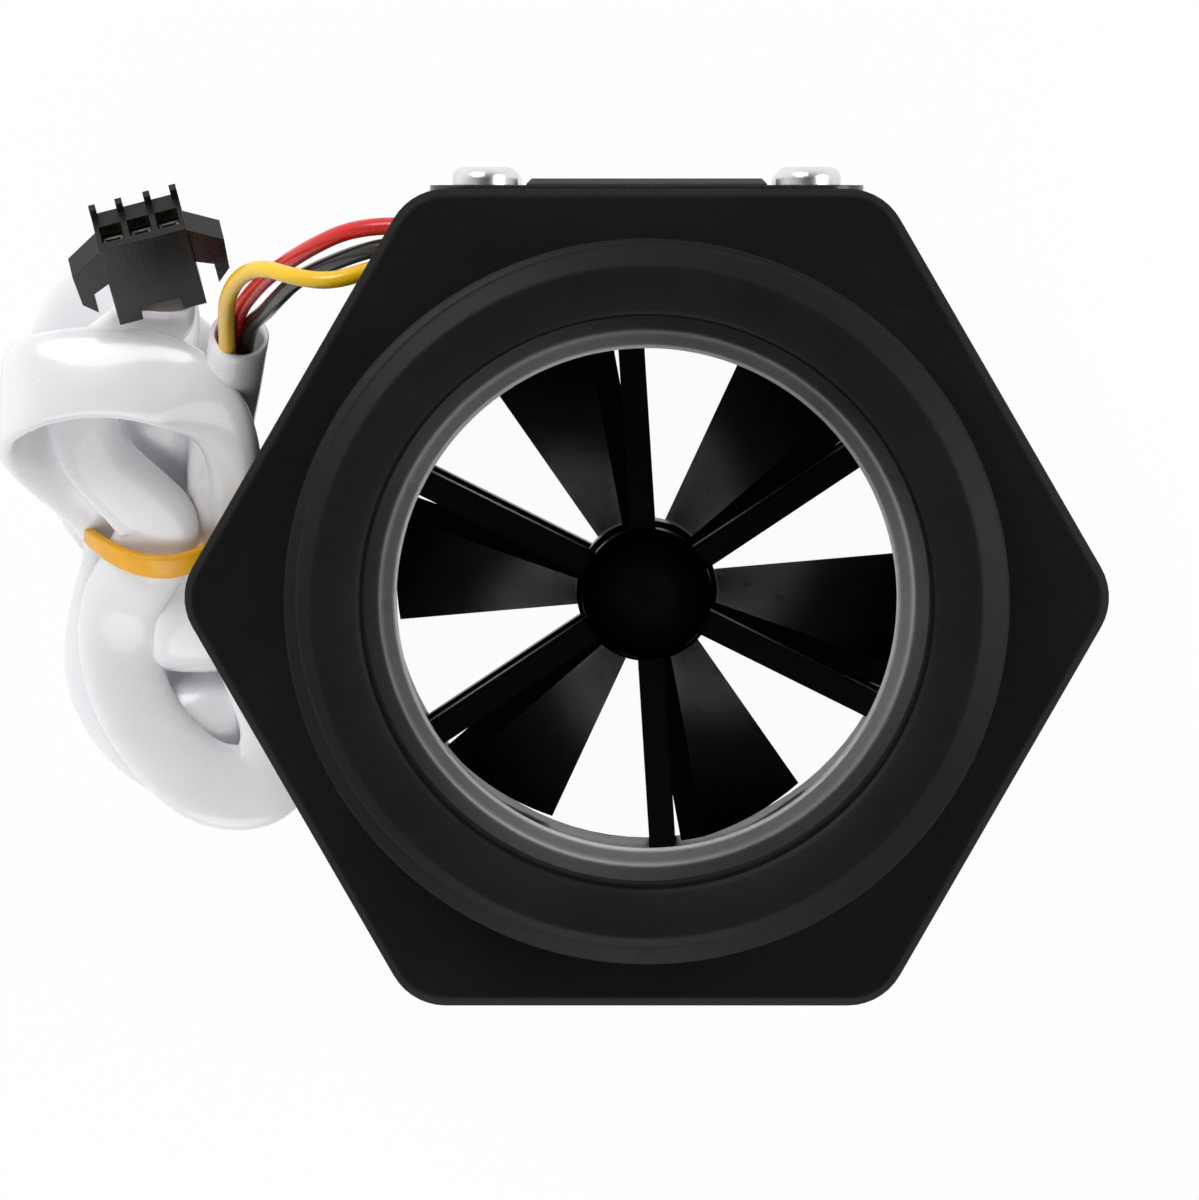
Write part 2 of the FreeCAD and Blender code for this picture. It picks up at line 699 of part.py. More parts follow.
def make_sleeve_lead(hank):
    """Open end of the sleeve that the three wires enter."""
    outer = tube("sleeve_lead", SLEEVE_LEAD_ROUTE, sleeve_d)
    inner = tube("sleeve_lead_bore", SLEEVE_LEAD_ROUTE, sleeve_bore)
    return outer.cut(inner).cut(hank)


# ================================================================ connector
def plug_to_frame(shape):
    """Move a shape from the connector's own axes to its place at the end of the sleeve.

    Own axes: x across the ways, z from the wire end to the mating end, -y towards the open side.
    """
    along = V(*plug_along)
    across = V(*plug_across)
    thick = along.cross(across)
    thick.normalize()
    along.normalize()
    across = thick.cross(along)
    place = V(*plug_place)
    matrix = FreeCAD.Matrix(across.x, thick.x, along.x, place.x,
                            across.y, thick.y, along.y, place.y,
                            across.z, thick.z, along.z, place.z,
                            0, 0, 0, 1)
    return shape.transformShape(matrix, True)


def latch_arm(side):
    """Swept-back latch arm with a hook, on one side of the connector."""
    root = plug_length - arm_root_setback
    half = plug_width / 2
    outline = [(half - arm_overlap, root), (half + arm_spread, root - arm_elbow),
               (half + arm_heel_spread, root - arm_heel), (half + arm_hook_spread, root - arm_hook),
               (half + arm_hook_spread, root - arm_hook_inside), (half - arm_overlap, root - arm_web_end)]
    corners = [V(side * x, -arm_thickness / 2, z) for x, z in outline]
    return Part.Face(Part.makePolygon(corners + [corners[0]])).extrude(V(0, arm_thickness, 0))


def cavity_centres():
    """Centre x of each way."""
    middle = (plug_ways - 1) / 2.0
    return [(i - middle) * plug_pitch for i in range(plug_ways)]


def make_plug():
    """Three-way wire-to-wire housing with through cavities, prongs and two latch arms."""
    body = Part.makeBox(plug_width, plug_thickness, plug_length, V(-plug_width / 2, -plug_thickness / 2, 0))
    prong_x = [-plug_width / 2, -plug_pitch / 2 - prong_width / 2, plug_pitch / 2 - prong_width / 2,
               plug_width / 2 - prong_width]
    prongs = [Part.makeBox(prong_width, prong_width, prong_height + 1,
                           V(x, plug_thickness / 2 - prong_width, plug_length - 1)) for x in prong_x]
    plug = fuse_all([body, latch_arm(1), latch_arm(-1)] + prongs)
    corner_y = plug_cavity_offset - plug_cavity_height / 2
    cavities = [Part.makeBox(plug_cavity_width, plug_cavity_height, plug_length + 2,
                             V(x - plug_cavity_width / 2, corner_y, -1)) for x in cavity_centres()]
    notch = Part.makeBox(plug_notch_width, plug_thickness / 2, plug_notch_height,
                         V(-plug_notch_width / 2, -plug_thickness / 2, 0))
    return plug_to_frame(plug.cut(Part.makeCompound(cavities + [notch])))


def make_contacts():
    """Box contacts, one in each way, seated on the floor of its cavity."""
    contacts = []
    for x in cavity_centres():
        width = plug_cavity_width - 2 * contact_clearance
        height = plug_cavity_height - 2 * contact_clearance
        low = plug_length - contact_setback - contact_length
        floor = plug_cavity_offset - height / 2
        box = Part.makeBox(width, height, contact_length, V(x - width / 2, floor, low))
        bore = Part.makeBox(width - 2 * contact_wall, height - 2 * contact_wall, contact_length,
                            V(x - width / 2 + contact_wall, floor + contact_wall, low))
        contacts.append(plug_to_frame(box.cut(bore)))
    return Part.makeCompound(contacts)


# ================================================================ gland and wires
def make_gland(wires):
    """Rubber gland that fills the side wall, with one hole for each wire."""
    gland = gland_seat(-press_clearance).common(hex_prism())
    return gland.cut(Part.makeCompound(wires))


def build_parts():
    """All nodes of the part, by name."""
    hank = make_hank()
    print("sleeve_hank box", hank.BoundBox, "volume", round(hank.Volume), "valid", hank.isValid())
    wires = {name: tube(name, route, wire_d) for name, route in WIRE_ROUTES.items()}
    low, high = shaft_span()
    parts = {
        "housing": make_housing(),
        "inlet_retaining_ring": make_retaining_ring(),
        "inlet_spider": make_inlet_spider(),
        "outlet_spider": make_outlet_spider(),
        "inlet_bearing": make_bearing(high - bearing_length),
        "outlet_bearing": make_bearing(low),
        "rotor": make_rotor(),
        "rotor_shaft": make_shaft(),
        "rotor_magnets": make_magnets(),
        "thrust_washers": make_washers(),
        "sensor_cover": make_cover(),
        "cover_gasket": make_gasket(),
        "cover_screws": make_screws(),
        "sensor_board": make_board(),
        "hall_sensor": make_hall_sensor(),
        "board_components": make_components(),
        "cable_gland": make_gland(list(wires.values())),
        "sleeve_lead": make_sleeve_lead(hank),
        "sleeve_hank": hank,
        "sleeve_tail": tube("sleeve_tail", SLEEVE_TAIL_ROUTE, sleeve_d).cut(hank),
        "hank_band": make_band(hank),
        "connector_housing": make_plug(),
        "connector_contacts": make_contacts(),
    }
    for name, wire in wires.items():
        parts[name] = wire.cut(hank)
    return parts


def main():
    """Write one STEP file for each node."""
    os.makedirs("parts", exist_ok=True)
    for name, shape in build_parts().items():
        shape.exportStep(os.path.join("parts", name + ".step"))
        print(name, "solids", len(shape.Solids), "volume", round(shape.Volume, 1), "valid", shape.isValid())


main()
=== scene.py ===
"""Turbine flow meter: its finishes, pipe threads, soft lead and studio.

Everything is in metres in the meter's own frame: the flow axis is +Z with the inlet on top, the
sensor cover is on +Y, and the folded lead lies on the floor at -X. The moulded body gets its real
pipe threads here, the lead is modelled as three wires running into one long soft sleeve, and every
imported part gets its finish.
"""
from __future__ import annotations

import logging
import math
from dataclasses import dataclass, field
from enum import Enum
from typing import Dict, List, Optional, Sequence, Tuple, Union

import bmesh
import bpy
from mathutils import Matrix, Vector

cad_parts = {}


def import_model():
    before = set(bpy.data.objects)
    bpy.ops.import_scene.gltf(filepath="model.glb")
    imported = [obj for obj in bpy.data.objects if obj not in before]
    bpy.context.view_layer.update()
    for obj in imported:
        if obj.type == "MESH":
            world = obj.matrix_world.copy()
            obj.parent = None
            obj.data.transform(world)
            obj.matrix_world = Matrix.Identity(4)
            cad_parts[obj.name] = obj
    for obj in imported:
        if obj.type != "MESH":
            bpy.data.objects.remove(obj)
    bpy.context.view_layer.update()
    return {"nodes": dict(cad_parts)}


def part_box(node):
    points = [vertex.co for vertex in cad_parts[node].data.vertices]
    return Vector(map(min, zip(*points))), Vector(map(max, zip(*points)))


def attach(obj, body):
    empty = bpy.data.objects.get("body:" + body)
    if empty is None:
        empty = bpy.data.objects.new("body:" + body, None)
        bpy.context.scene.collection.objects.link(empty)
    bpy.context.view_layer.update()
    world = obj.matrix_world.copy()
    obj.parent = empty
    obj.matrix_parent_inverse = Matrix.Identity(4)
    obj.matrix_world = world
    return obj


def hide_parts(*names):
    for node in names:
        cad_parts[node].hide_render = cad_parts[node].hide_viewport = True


LOG = logging.getLogger("flow_meter")
MM = 0.001
METER = "meter"
BEVEL_SAMPLES = 4
EDGE_GAIN = 24.0
SAME_POINT = 1e-6
SKIN_WELD = 2e-6
FINE_WELD = 1e-7

Triple = Tuple[float, float, float]
Colour = Tuple[float, float, float, float]


# ---------------------------------------------------------------- shader maths
class Wire:
    """A value inside a material, with the usual arithmetic.

    Args:
        finish: the finish that the value belongs to.
        socket: the output socket that carries it.
    """

    def __init__(self, finish: "Finish", socket: bpy.types.NodeSocket) -> None:
        """Keep the finish and the socket."""
        self.finish = finish
        self.socket = socket

    def _math(self, operation: str, first: "Term", second: "Term") -> "Wire":
        """Add one Math node for an operation on two terms."""
        node = self.finish.node("ShaderNodeMath", {"operation": operation}, {0: first, 1: second})
        return Wire(self.finish, node.outputs[0])

    def __add__(self, other: "Term") -> "Wire":
        """Sum."""
        return self._math("ADD", self, other)

    def __radd__(self, other: "Term") -> "Wire":
        """Sum, from the right."""
        return self._math("ADD", other, self)

    def __sub__(self, other: "Term") -> "Wire":
        """Difference."""
        return self._math("SUBTRACT", self, other)

    def __rsub__(self, other: "Term") -> "Wire":
        """Difference, from the right."""
        return self._math("SUBTRACT", other, self)

    def __mul__(self, other: "Term") -> "Wire":
        """Product."""
        return self._math("MULTIPLY", self, other)

    def __rmul__(self, other: "Term") -> "Wire":
        """Product, from the right."""
        return self._math("MULTIPLY", other, self)

    def above(self, limit: float, softness: float) -> "Wire":
        """Soft step from 0 to 1 where the value passes a limit.

        Args:
            limit: where the step is half way up.
            softness: width of the step.

        Returns:
            The stepped value.
        """
        node = self.finish.node(
            "ShaderNodeMapRange",
            {"interpolation_type": "SMOOTHSTEP", "clamp": True},
            {"Value": self, "From Min": limit - softness / 2, "From Max": limit + softness / 2},
        )
        return Wire(self.finish, node.outputs[0])


Term = Union[Wire, float]
Input = Union[Wire, float, Sequence[float]]
Inputs = Dict[Union[int, str], Input]


class Finish:
    """One procedural material, built on a Principled shader.

    Args:
        name: the material's name.
    """

    def __init__(self, name: str) -> None:
        """Start the material with a bare shader."""
        self.material = bpy.data.materials.new(name)
        self.material.use_nodes = True
        self.tree = self.material.node_tree
        self.tree.nodes.clear()
        self.output = self.tree.nodes.new("ShaderNodeOutputMaterial")
        self.body = self.tree.nodes.new("ShaderNodeBsdfPrincipled")
        self.tree.links.new(self.body.outputs[0], self.output.inputs[0])

    def node(
        self, kind: str, settings: Dict[str, object], inputs: Inputs
    ) -> bpy.types.Node:
        """Add any node.

        Args:
            kind: the node's type name.
            settings: attributes, set before the inputs.
            inputs: numbers, vectors or wires for its sockets.

        Returns:
            The new node.
        """
        made = self.tree.nodes.new(kind)
        for key, value in settings.items():
            setattr(made, key, value)
        for key, value in inputs.items():
            self.feed(made.inputs[key], value)
        return made

    def feed(self, socket: bpy.types.NodeSocket, value: Input) -> None:
        """Link a wire to a socket, or set a constant on it.

        Args:
            socket: the input socket.
            value: a wire, or a number or vector.
        """
        if isinstance(value, Wire):
            self.tree.links.new(value.socket, socket)
        else:
            socket.default_value = value

    def place(self, stretch: Triple = (1.0, 1.0, 1.0)) -> Wire:
        """Object coordinates, stretched along the axes.

        Args:
            stretch: scale along X, Y and Z.

        Returns:
            The stretched coordinates.
        """
        coords = self.node("ShaderNodeTexCoord", {}, {})
        mapped = self.node(
            "ShaderNodeMapping",
            {},
            {"Vector": Wire(self, coords.outputs["Object"]), "Scale": stretch},
        )
        return Wire(self, mapped.outputs[0])

    def noise(
        self, scale: float, detail: float = 4.0, rough: float = 0.55, at: Optional[Wire] = None
    ) -> Wire:
        """Cloudy noise from 0 to 1, with features about 1/scale of a metre.

        Args:
            scale: how many features to the metre.
            detail: number of finer layers.
            rough: strength of the finer layers.
            at: coordinates, or none for the plain ones.

        Returns:
            The noise.
        """
        made = self.node(
            "ShaderNodeTexNoise",
            {},
            {"Vector": at or self.place(), "Scale": scale, "Detail": detail, "Roughness": rough},
        )
        return Wire(self, made.outputs["Fac"])

    def blend(self, factor: Input, low: Input, high: Input) -> Wire:
        """Colour between two others."""
        made = self.node("ShaderNodeMix", {"data_type": "RGBA"}, {0: factor, 6: low, 7: high})
        return Wire(self, made.outputs[2])

    def soft_edges(self, radius: float) -> Wire:
        """Normal that rounds the edges over a radius in metres."""
        made = self.node("ShaderNodeBevel", {"samples": BEVEL_SAMPLES}, {"Radius": radius})
        return Wire(self, made.outputs[0])

    def edges(self, rounded: Wire) -> Wire:
        """How near a point is to an edge, 0 to 1, from its rounded normal.

        Args:
            rounded: the normal that soft_edges gives.

        Returns:
            The mask.
        """
        flat = self.node("ShaderNodeNewGeometry", {}, {}).outputs["True Normal"]
        pair = self.node(
            "ShaderNodeVectorMath",
            {"operation": "DOT_PRODUCT"},
            {0: rounded, 1: Wire(self, flat)},
        )
        bend = (1.0 - Wire(self, pair.outputs["Value"])) * EDGE_GAIN
        return Wire(self, self.node("ShaderNodeClamp", {}, {"Value": bend}).outputs[0])

    def relief(
        self, height: Wire, depth: float, strength: float, under: Optional[Wire] = None
    ) -> Wire:
        """Bumped normal from a height, over another normal.

        Args:
            height: the height, 0 to 1.
            depth: depth of the bumps in metres.
            strength: how much of them shows.
            under: normal that they lie on, or none for the plain one.

        Returns:
            The bumped normal.
        """
        inputs: Inputs = {"Height": height, "Distance": depth, "Strength": strength}
        if under is not None:
            inputs["Normal"] = under
        return Wire(self, self.node("ShaderNodeBump", {}, inputs).outputs[0])

    def set(self, **values: Input) -> bpy.types.Material:
        """Feed the shader's sockets by their names, with _ for a space, and return the material.

        Args:
            values: wires or constants by socket name.

        Returns:
            The finished material.
        """
        for key, value in values.items():
            self.feed(self.body.inputs[key.replace("_", " ")], value)
        return self.material


def grey(level: float, warmth: float = 0.0) -> Colour:
    """Neutral colour at a level, a little warm or cool."""
    return (level * (1 + warmth), level, level * (1 - warmth), 1.0)


def shade(colour: Colour, factor: float) -> Colour:
    """Colour made darker or lighter."""
    return (colour[0] * factor, colour[1] * factor, colour[2] * factor, 1.0)


# pale colour painted along edges as a highlight, standing in for the light that a rounded edge
# catches
PAINTED_EDGE_HIGHLIGHT = grey(0.92)


@dataclass(frozen=True)
class MouldedPlastic:
    """Injection-moulded plastic: fine spark texture, faint flow clouds, soft edges, and optionally
    a painted highlight along its edges.
    """

    name: str
    colour: Colour
    roughness: float = 0.42
    specular: float = 0.3
    grain: float = 5200.0
    grain_depth: float = 0.00003
    cloud: float = 55.0
    edge: float = 0.0003
    coat: float = 0.0
    coat_roughness: float = 0.12
    edge_highlight_paint: float = 0.0
    deepest: float = 0.8
    palest: float = 1.25
    scuff_scale: float = 9.0
    scuff_stretch: Triple = (1.0, 1.0, 0.2)
    scuff_limit: float = 0.63

    def make(self) -> bpy.types.Material:
        """Build the material.

        Returns:
            The finished material.
        """
        finish = Finish(self.name)
        clouds = finish.noise(self.cloud, 5.0)
        fine = finish.noise(self.grain, 2.0, 0.6)
        drawn_out = finish.place(self.scuff_stretch)
        streaks = finish.noise(self.cloud * self.scuff_scale, 6.0, 0.7, drawn_out)
        scuffs = streaks.above(self.scuff_limit, 0.1)
        rounded = finish.soft_edges(self.edge)
        normal = finish.relief(fine, self.grain_depth, 0.6, rounded)
        dark, light = shade(self.colour, self.deepest), shade(self.colour, self.palest)
        body = finish.blend(clouds.above(0.5, 0.6), dark, light)
        # painted highlight: the colour near sharp edges is blended towards a pale grey, as if the
        # edges caught the light
        if self.edge_highlight_paint:
            body = finish.blend(finish.edges(rounded) * self.edge_highlight_paint, body, PAINTED_EDGE_HIGHLIGHT)
        return finish.set(
            Base_Color=body,
            Roughness=clouds * 0.14 + scuffs * 0.08 + (self.roughness - 0.09),
            Specular_IOR_Level=self.specular,
            Coat_Weight=self.coat,
            Coat_Roughness=self.coat_roughness,
            Normal=normal,
        )


@dataclass(frozen=True)
class Metal:
    """Plated or ground metal with fine directional marks."""

    name: str
    colour: Colour
    roughness: float = 0.25
    marks: Triple = (1.0, 1.0, 30.0)
    edge: float = 0.00012
    mark_scale: float = 900.0
    mark_depth: float = 0.00002
    tarnish_scale: float = 240.0
    tarnished: float = 0.78

    def make(self) -> bpy.types.Material:
        """Build the material.

        Returns:
            The finished material.
        """
        finish = Finish(self.name)
        marks = finish.noise(self.mark_scale, 4.0, 0.6, finish.place(self.marks))
        tarnish = finish.noise(self.tarnish_scale, 5.0)
        dull = shade(self.colour, self.tarnished)
        return finish.set(
            Base_Color=finish.blend(tarnish.above(0.55, 0.5), self.colour, dull),
            Metallic=1.0,
            Roughness=tarnish * 0.16 + (self.roughness - 0.05),
            Normal=finish.relief(marks, self.mark_depth, 0.4, finish.soft_edges(self.edge)),
        )


@dataclass(frozen=True)
class Vinyl:
    """Glossy soft PVC of a wire or a sleeve, with faint draw marks along it."""

    name: str
    colour: Colour
    deep: Colour
    roughness: float = 0.28
    ripple: float = 700.0
    ripple_depth: float = 0.00004
    glow: float = 0.0
    coat: float = 0.25
    coat_roughness: float = 0.08
    light_depth: Triple = (0.0012, 0.001, 0.0009)
    cloud: float = 160.0

    def make(self) -> bpy.types.Material:
        """Build the material.

        Returns:
            The finished material.
        """
        finish = Finish(self.name)
        clouds = finish.noise(self.cloud, 4.0)
        ripple = finish.noise(self.ripple, 3.0, 0.5)
        return finish.set(
            Base_Color=finish.blend(clouds.above(0.5, 0.7), self.colour, self.deep),
            Roughness=clouds * 0.12 + (self.roughness - 0.06),
            Coat_Weight=self.coat,
            Coat_Roughness=self.coat_roughness,
            Subsurface_Weight=self.glow,
            Subsurface_Radius=self.light_depth,
            Subsurface_Scale=1.0,
            Normal=finish.relief(ripple, self.ripple_depth, 0.5),
        )


@dataclass(frozen=True)
class Rubber:
    """Moulded or cut rubber: soft sheen, dusty mottling."""

    name: str
    colour: Colour
    roughness: float = 0.55
    glow: float = 0.0
    light_depth: Triple = (0.001, 0.0006, 0.0002)
    dust_scale: float = 420.0
    dusty: float = 0.86
    skin_scale: float = 2400.0
    skin_depth: float = 0.00003

    def make(self) -> bpy.types.Material:
        """Build the material.

        Returns:
            The finished material.
        """
        finish = Finish(self.name)
        dust = finish.noise(self.dust_scale, 6.0, 0.65)
        skin = finish.noise(self.skin_scale, 3.0)
        return finish.set(
            Base_Color=finish.blend(
                dust.above(0.55, 0.5), self.colour, shade(self.colour, self.dusty)
            ),
            Roughness=dust * 0.2 + (self.roughness - 0.1),
            Subsurface_Weight=self.glow,
            Subsurface_Radius=self.light_depth,
            Subsurface_Scale=1.0,
            Normal=finish.relief(skin, self.skin_depth, 0.5),
        )


@dataclass(frozen=True)
class SolderMask:
    """Printed board: green mask over darker tracks."""

    name: str
    colour: Colour
    track_scale: float = 380.0
    weave_scale: float = 3000.0
    over_track: float = 0.55
    track_depth: float = 0.00003

    def make(self) -> bpy.types.Material:
        """Build the material.

        Returns:
            The finished material.
        """
        finish = Finish(self.name)
        cells = finish.node(
            "ShaderNodeTexVoronoi",
            {"distance": "CHEBYCHEV"},
            {"Vector": finish.place(), "Scale": self.track_scale},
        )
        tracks = Wire(finish, cells.outputs["Distance"]).above(0.42, 0.05)
        weave = finish.noise(self.weave_scale, 2.0)
        return finish.set(
            Base_Color=finish.blend(tracks, self.colour, shade(self.colour, self.over_track)),
            Roughness=weave * 0.2 + 0.2,
            Normal=finish.relief(tracks, self.track_depth, 0.6),
        )


BLACK_NYLON = MouldedPlastic("black_nylon", grey(0.0058), 0.44, 0.15, edge=0.00045)
SPIDER_NYLON = MouldedPlastic("spider_nylon", grey(0.0042), 0.38, 0.25, edge=0.0003)
ROTOR_NYLON = MouldedPlastic("rotor_nylon", grey(0.0036), 0.34, 0.25, edge=0.00025)
# the ring's edges carry a painted highlight: a pale line painted into its colour
RING_NYLON = MouldedPlastic(
    "ring_grey_nylon", grey(0.20, 0.03), 0.3, 0.5, edge=0.0006, edge_highlight_paint=1.0
)
COVER_ABS = MouldedPlastic(
    "cover_gloss", grey(0.018), 0.22, 0.5, grain=3000.0, edge=0.00025, coat=0.3
)
CONNECTOR_NYLON = MouldedPlastic(
    "connector_nylon", grey(0.010), 0.3, 0.4, cloud=120.0, edge=0.00018
)
CHIP_EPOXY = MouldedPlastic("chip_epoxy", grey(0.02), 0.6, 0.4, edge=0.00008)
CERAMIC = MouldedPlastic("component_ceramic", (0.5, 0.4, 0.25, 1.0), 0.5, 0.4, edge=0.00008)
BUSH_RESIN = MouldedPlastic("bearing_resin", (0.55, 0.5, 0.4, 1.0), 0.4, 0.4, edge=0.0001)
WASHER_RESIN = MouldedPlastic("washer_resin", (0.7, 0.66, 0.58, 1.0), 0.35, 0.4, edge=0.00008)
SHAFT_STEEL = Metal("shaft_steel", (0.62, 0.63, 0.65, 1.0), 0.16)
SCREW_STEEL = Metal("screw_steel", (0.86, 0.84, 0.82, 1.0), 0.24, (1.0, 1.0, 1.0))
MAGNET_NICKEL = Metal("magnet_nickel", (0.66, 0.65, 0.62, 1.0), 0.2)
CONTACT_TIN = Metal("contact_tin", (0.66, 0.62, 0.52, 1.0), 0.3)
RED_PVC = Vinyl("wire_red_pvc", (0.72, 0.008, 0.006, 1.0), (0.58, 0.005, 0.005, 1.0))
BLACK_PVC = Vinyl("wire_black_pvc", grey(0.012), grey(0.02))
YELLOW_PVC = Vinyl("wire_yellow_pvc", (0.96, 0.60, 0.004, 1.0), (0.90, 0.50, 0.003, 1.0))
SLEEVE_PVC = Vinyl(
    "sleeve_white_pvc", (0.86, 0.855, 0.88, 1.0), (0.82, 0.815, 0.845, 1.0), 0.26,
    ripple=420.0, ripple_depth=0.00006, glow=0.10, coat=0.5,
)
GASKET_RUBBER = Rubber("gasket_rubber", grey(0.02))
BAND_RUBBER = Rubber("band_amber_rubber", (0.90, 0.44, 0.008, 1.0), 0.34, 0.3)
BOARD_MASK = SolderMask("board_green_mask", (0.02, 0.16, 0.06, 1.0))

PACKED_FINISHES: Dict[str, Union[MouldedPlastic, Metal, Rubber, SolderMask]] = {
    "inlet_retaining_ring": RING_NYLON,
    "inlet_spider": SPIDER_NYLON,
    "outlet_spider": SPIDER_NYLON,
    "rotor": ROTOR_NYLON,
    "inlet_bearing": BUSH_RESIN,
    "outlet_bearing": BUSH_RESIN,
    "rotor_shaft": SHAFT_STEEL,
    "rotor_magnets": MAGNET_NICKEL,
    "thrust_washers": WASHER_RESIN,
    "sensor_cover": COVER_ABS,
    "cover_gasket": GASKET_RUBBER,
    "cover_screws": SCREW_STEEL,
    "sensor_board": BOARD_MASK,
    "hall_sensor": CHIP_EPOXY,
    "board_components": CERAMIC,
    "cable_gland": GASKET_RUBBER,
    "connector_housing": CONNECTOR_NYLON,
    "connector_contacts": CONTACT_TIN,
}


def dress(piece: bpy.types.Object, material: bpy.types.Material) -> None:
    """Give a piece one material all over."""
    piece.data.materials.clear()
    piece.data.materials.append(material)


# ---------------------------------------------------------------- modelling helpers
def deselect() -> None:
    """Leave object mode with nothing selected."""
    if bpy.context.object and bpy.context.object.mode != "OBJECT":
        bpy.ops.object.mode_set(mode="OBJECT")
    bpy.ops.object.select_all(action="DESELECT")


def take(piece: bpy.types.Object) -> bpy.types.Object:
    """Make one object the only selected and active one.

    Args:
        piece: the object.

    Returns:
        The same object.
    """
    deselect()
    piece.select_set(True)
    bpy.context.view_layer.objects.active = piece
    return piece


def apply_modifier(piece: bpy.types.Object, kind: str, **settings: object) -> None:
    """Add a modifier, set it and apply it.

    Args:
        piece: the object.
        kind: the modifier's type.
        settings: its attributes.
    """
    take(piece)
    made = piece.modifiers.new(kind.lower(), kind)
    for key, value in settings.items():
        setattr(made, key, value)
    bpy.ops.object.modifier_apply(modifier=made.name)


def clean_normals(piece: bpy.types.Object, merge: float) -> None:
    """Merge doubles and turn every face outwards.

    Args:
        piece: the object.
        merge: distance under which points are merged.
    """
    take(piece)
    bpy.ops.object.mode_set(mode="EDIT")
    bpy.ops.mesh.select_all(action="SELECT")
    bpy.ops.mesh.remove_doubles(threshold=merge)
    bpy.ops.mesh.normals_make_consistent(inside=False)
    bpy.ops.object.mode_set(mode="OBJECT")


def smooth(piece: bpy.types.Object, degrees: float) -> None:
    """Shade smooth below an angle.

    Args:
        piece: the object.
        degrees: sharper edges than this stay sharp.
    """
    take(piece)
    bpy.ops.object.shade_smooth_by_angle(angle=math.radians(degrees))
    deselect()


# ---------------------------------------------------------------- lead
@dataclass(frozen=True)
class Stop:
    """One control point of the sleeve's line, with the sleeve's shape there, in millimetres.

    The sleeve is pressed flat over most of its length: facing is the way its flat side looks, wide
    is half its width and thick half its thickness.
    """

    place: Triple
    facing: Triple
    wide: float
    thick: float


def spline_object(name: str, points: Sequence[Vector]) -> bpy.types.Object:
    """Curve object with one smooth NURBS spline through the pull of its control points.

    Args:
        name: the object's name.
        points: its control points, in metres.

    Returns:
        The curve object.
    """
    data = bpy.data.curves.new(name, "CURVE")
    data.dimensions = "3D"
    data.resolution_u = 12
    data.render_resolution_u = 12
    run = data.splines.new("NURBS")
    run.points.add(len(points) - 1)
    for target, point in zip(run.points, points):
        target.co = (*point, 1.0)
    run.order_u = 3
    run.use_endpoint_u = True
    piece = bpy.data.objects.new(name, data)
    bpy.context.scene.collection.objects.link(piece)
    return piece


def spline_line(name: str, points: Sequence[Vector]) -> List[Vector]:
    """Points read from the smooth spline of some control points.

    Args:
        name: name of the helper, which is removed again.
        points: the control points, in metres.

    Returns:
        Points along the spline.
    """
    helper = spline_object(name, points)
    bpy.context.view_layer.update()
    mesh = bpy.data.meshes.new_from_object(helper)
    line = [vertex.co.copy() for vertex in mesh.vertices]
    bpy.data.meshes.remove(mesh)
    bpy.data.objects.remove(helper)
    return line


def run_length(line: Sequence[Vector]) -> float:
    """Length of a line of points."""
    return sum((b - a).length for a, b in zip(line, line[1:]))


class Lay(Enum):
    """The way a cord lies."""

    LOOSE = "loose"
    COILED = "coiled"


@dataclass
class SignalWires:
    """Three insulated wires from the sensor board, through the gland, into the sleeve."""

    diameter: float = 1.5 * MM
    routes: Dict[str, List[Triple]] = field(
        default_factory=lambda: {
            "wire_red": [
                (-8.2, 30.4, 63.4), (-15.0, 30.8, 62.2), (-21.3, 31.2, 60.2), (-25.4, 30.8, 58.8),
                (-28.2, 29.6, 56.6), (-31.0, 28.0, 52.6), (-32.8, 26.7, 47.8), (-34.4, 25.2, 42.6),
                (-35.6, 23.6, 37.8), (-36.1, 21.6, 33.6), (-36.6, 18.0, 28.6), (-37.4, 14.4, 23.6)],
            "wire_black": [
                (-8.2, 30.4, 60.0), (-15.4, 30.2, 60.2), (-22.3, 29.4, 59.8), (-25.0, 28.7, 58.0),
                (-27.6, 27.7, 55.0), (-30.2, 26.5, 50.8), (-32.0, 24.8, 46.2), (-33.2, 23.6, 41.0),
                (-34.3, 22.9, 37.2), (-34.9, 21.4, 33.8), (-35.6, 17.8, 28.9), (-36.5, 14.2, 23.9)],
            "wire_yellow": [
                (-8.2, 30.4, 56.6), (-16.0, 29.4, 58.4), (-23.4, 27.4, 60.1), (-27.0, 26.3, 60.4),
                (-30.2, 26.7, 58.8), (-33.0, 27.6, 55.4), (-35.0, 26.9, 51.4), (-36.2, 25.2, 46.4),
                (-36.5, 23.4, 41.0), (-36.5, 21.8, 37.0), (-36.6, 19.6, 33.0), (-37.1, 16.4, 28.4),
                (-37.9, 13.2, 24.0)],
        }
    )
    finishes: Dict[str, Vinyl] = field(
        default_factory=lambda: {
            "wire_red": RED_PVC, "wire_black": BLACK_PVC, "wire_yellow": YELLOW_PVC,
        }
    )

    def build(self) -> List[bpy.types.Object]:
        """Returns:
            The three wires.
        """
        made = []
        for name, route in self.routes.items():
            points = [Vector(p) * MM for p in route]
            piece = spline_object(name + "_run", points)
            piece.data.bevel_depth = self.diameter / 2
            piece.data.bevel_resolution = 5
            piece.data.use_fill_caps = True
            dress(piece, self.finishes[name].make())
            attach(piece, METER)
            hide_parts(name)
            length = run_length(spline_line(name + "_probe", points))
            LOG.info("%s: %.1f mm long", name, length / MM)
            made.append(piece)
        return made


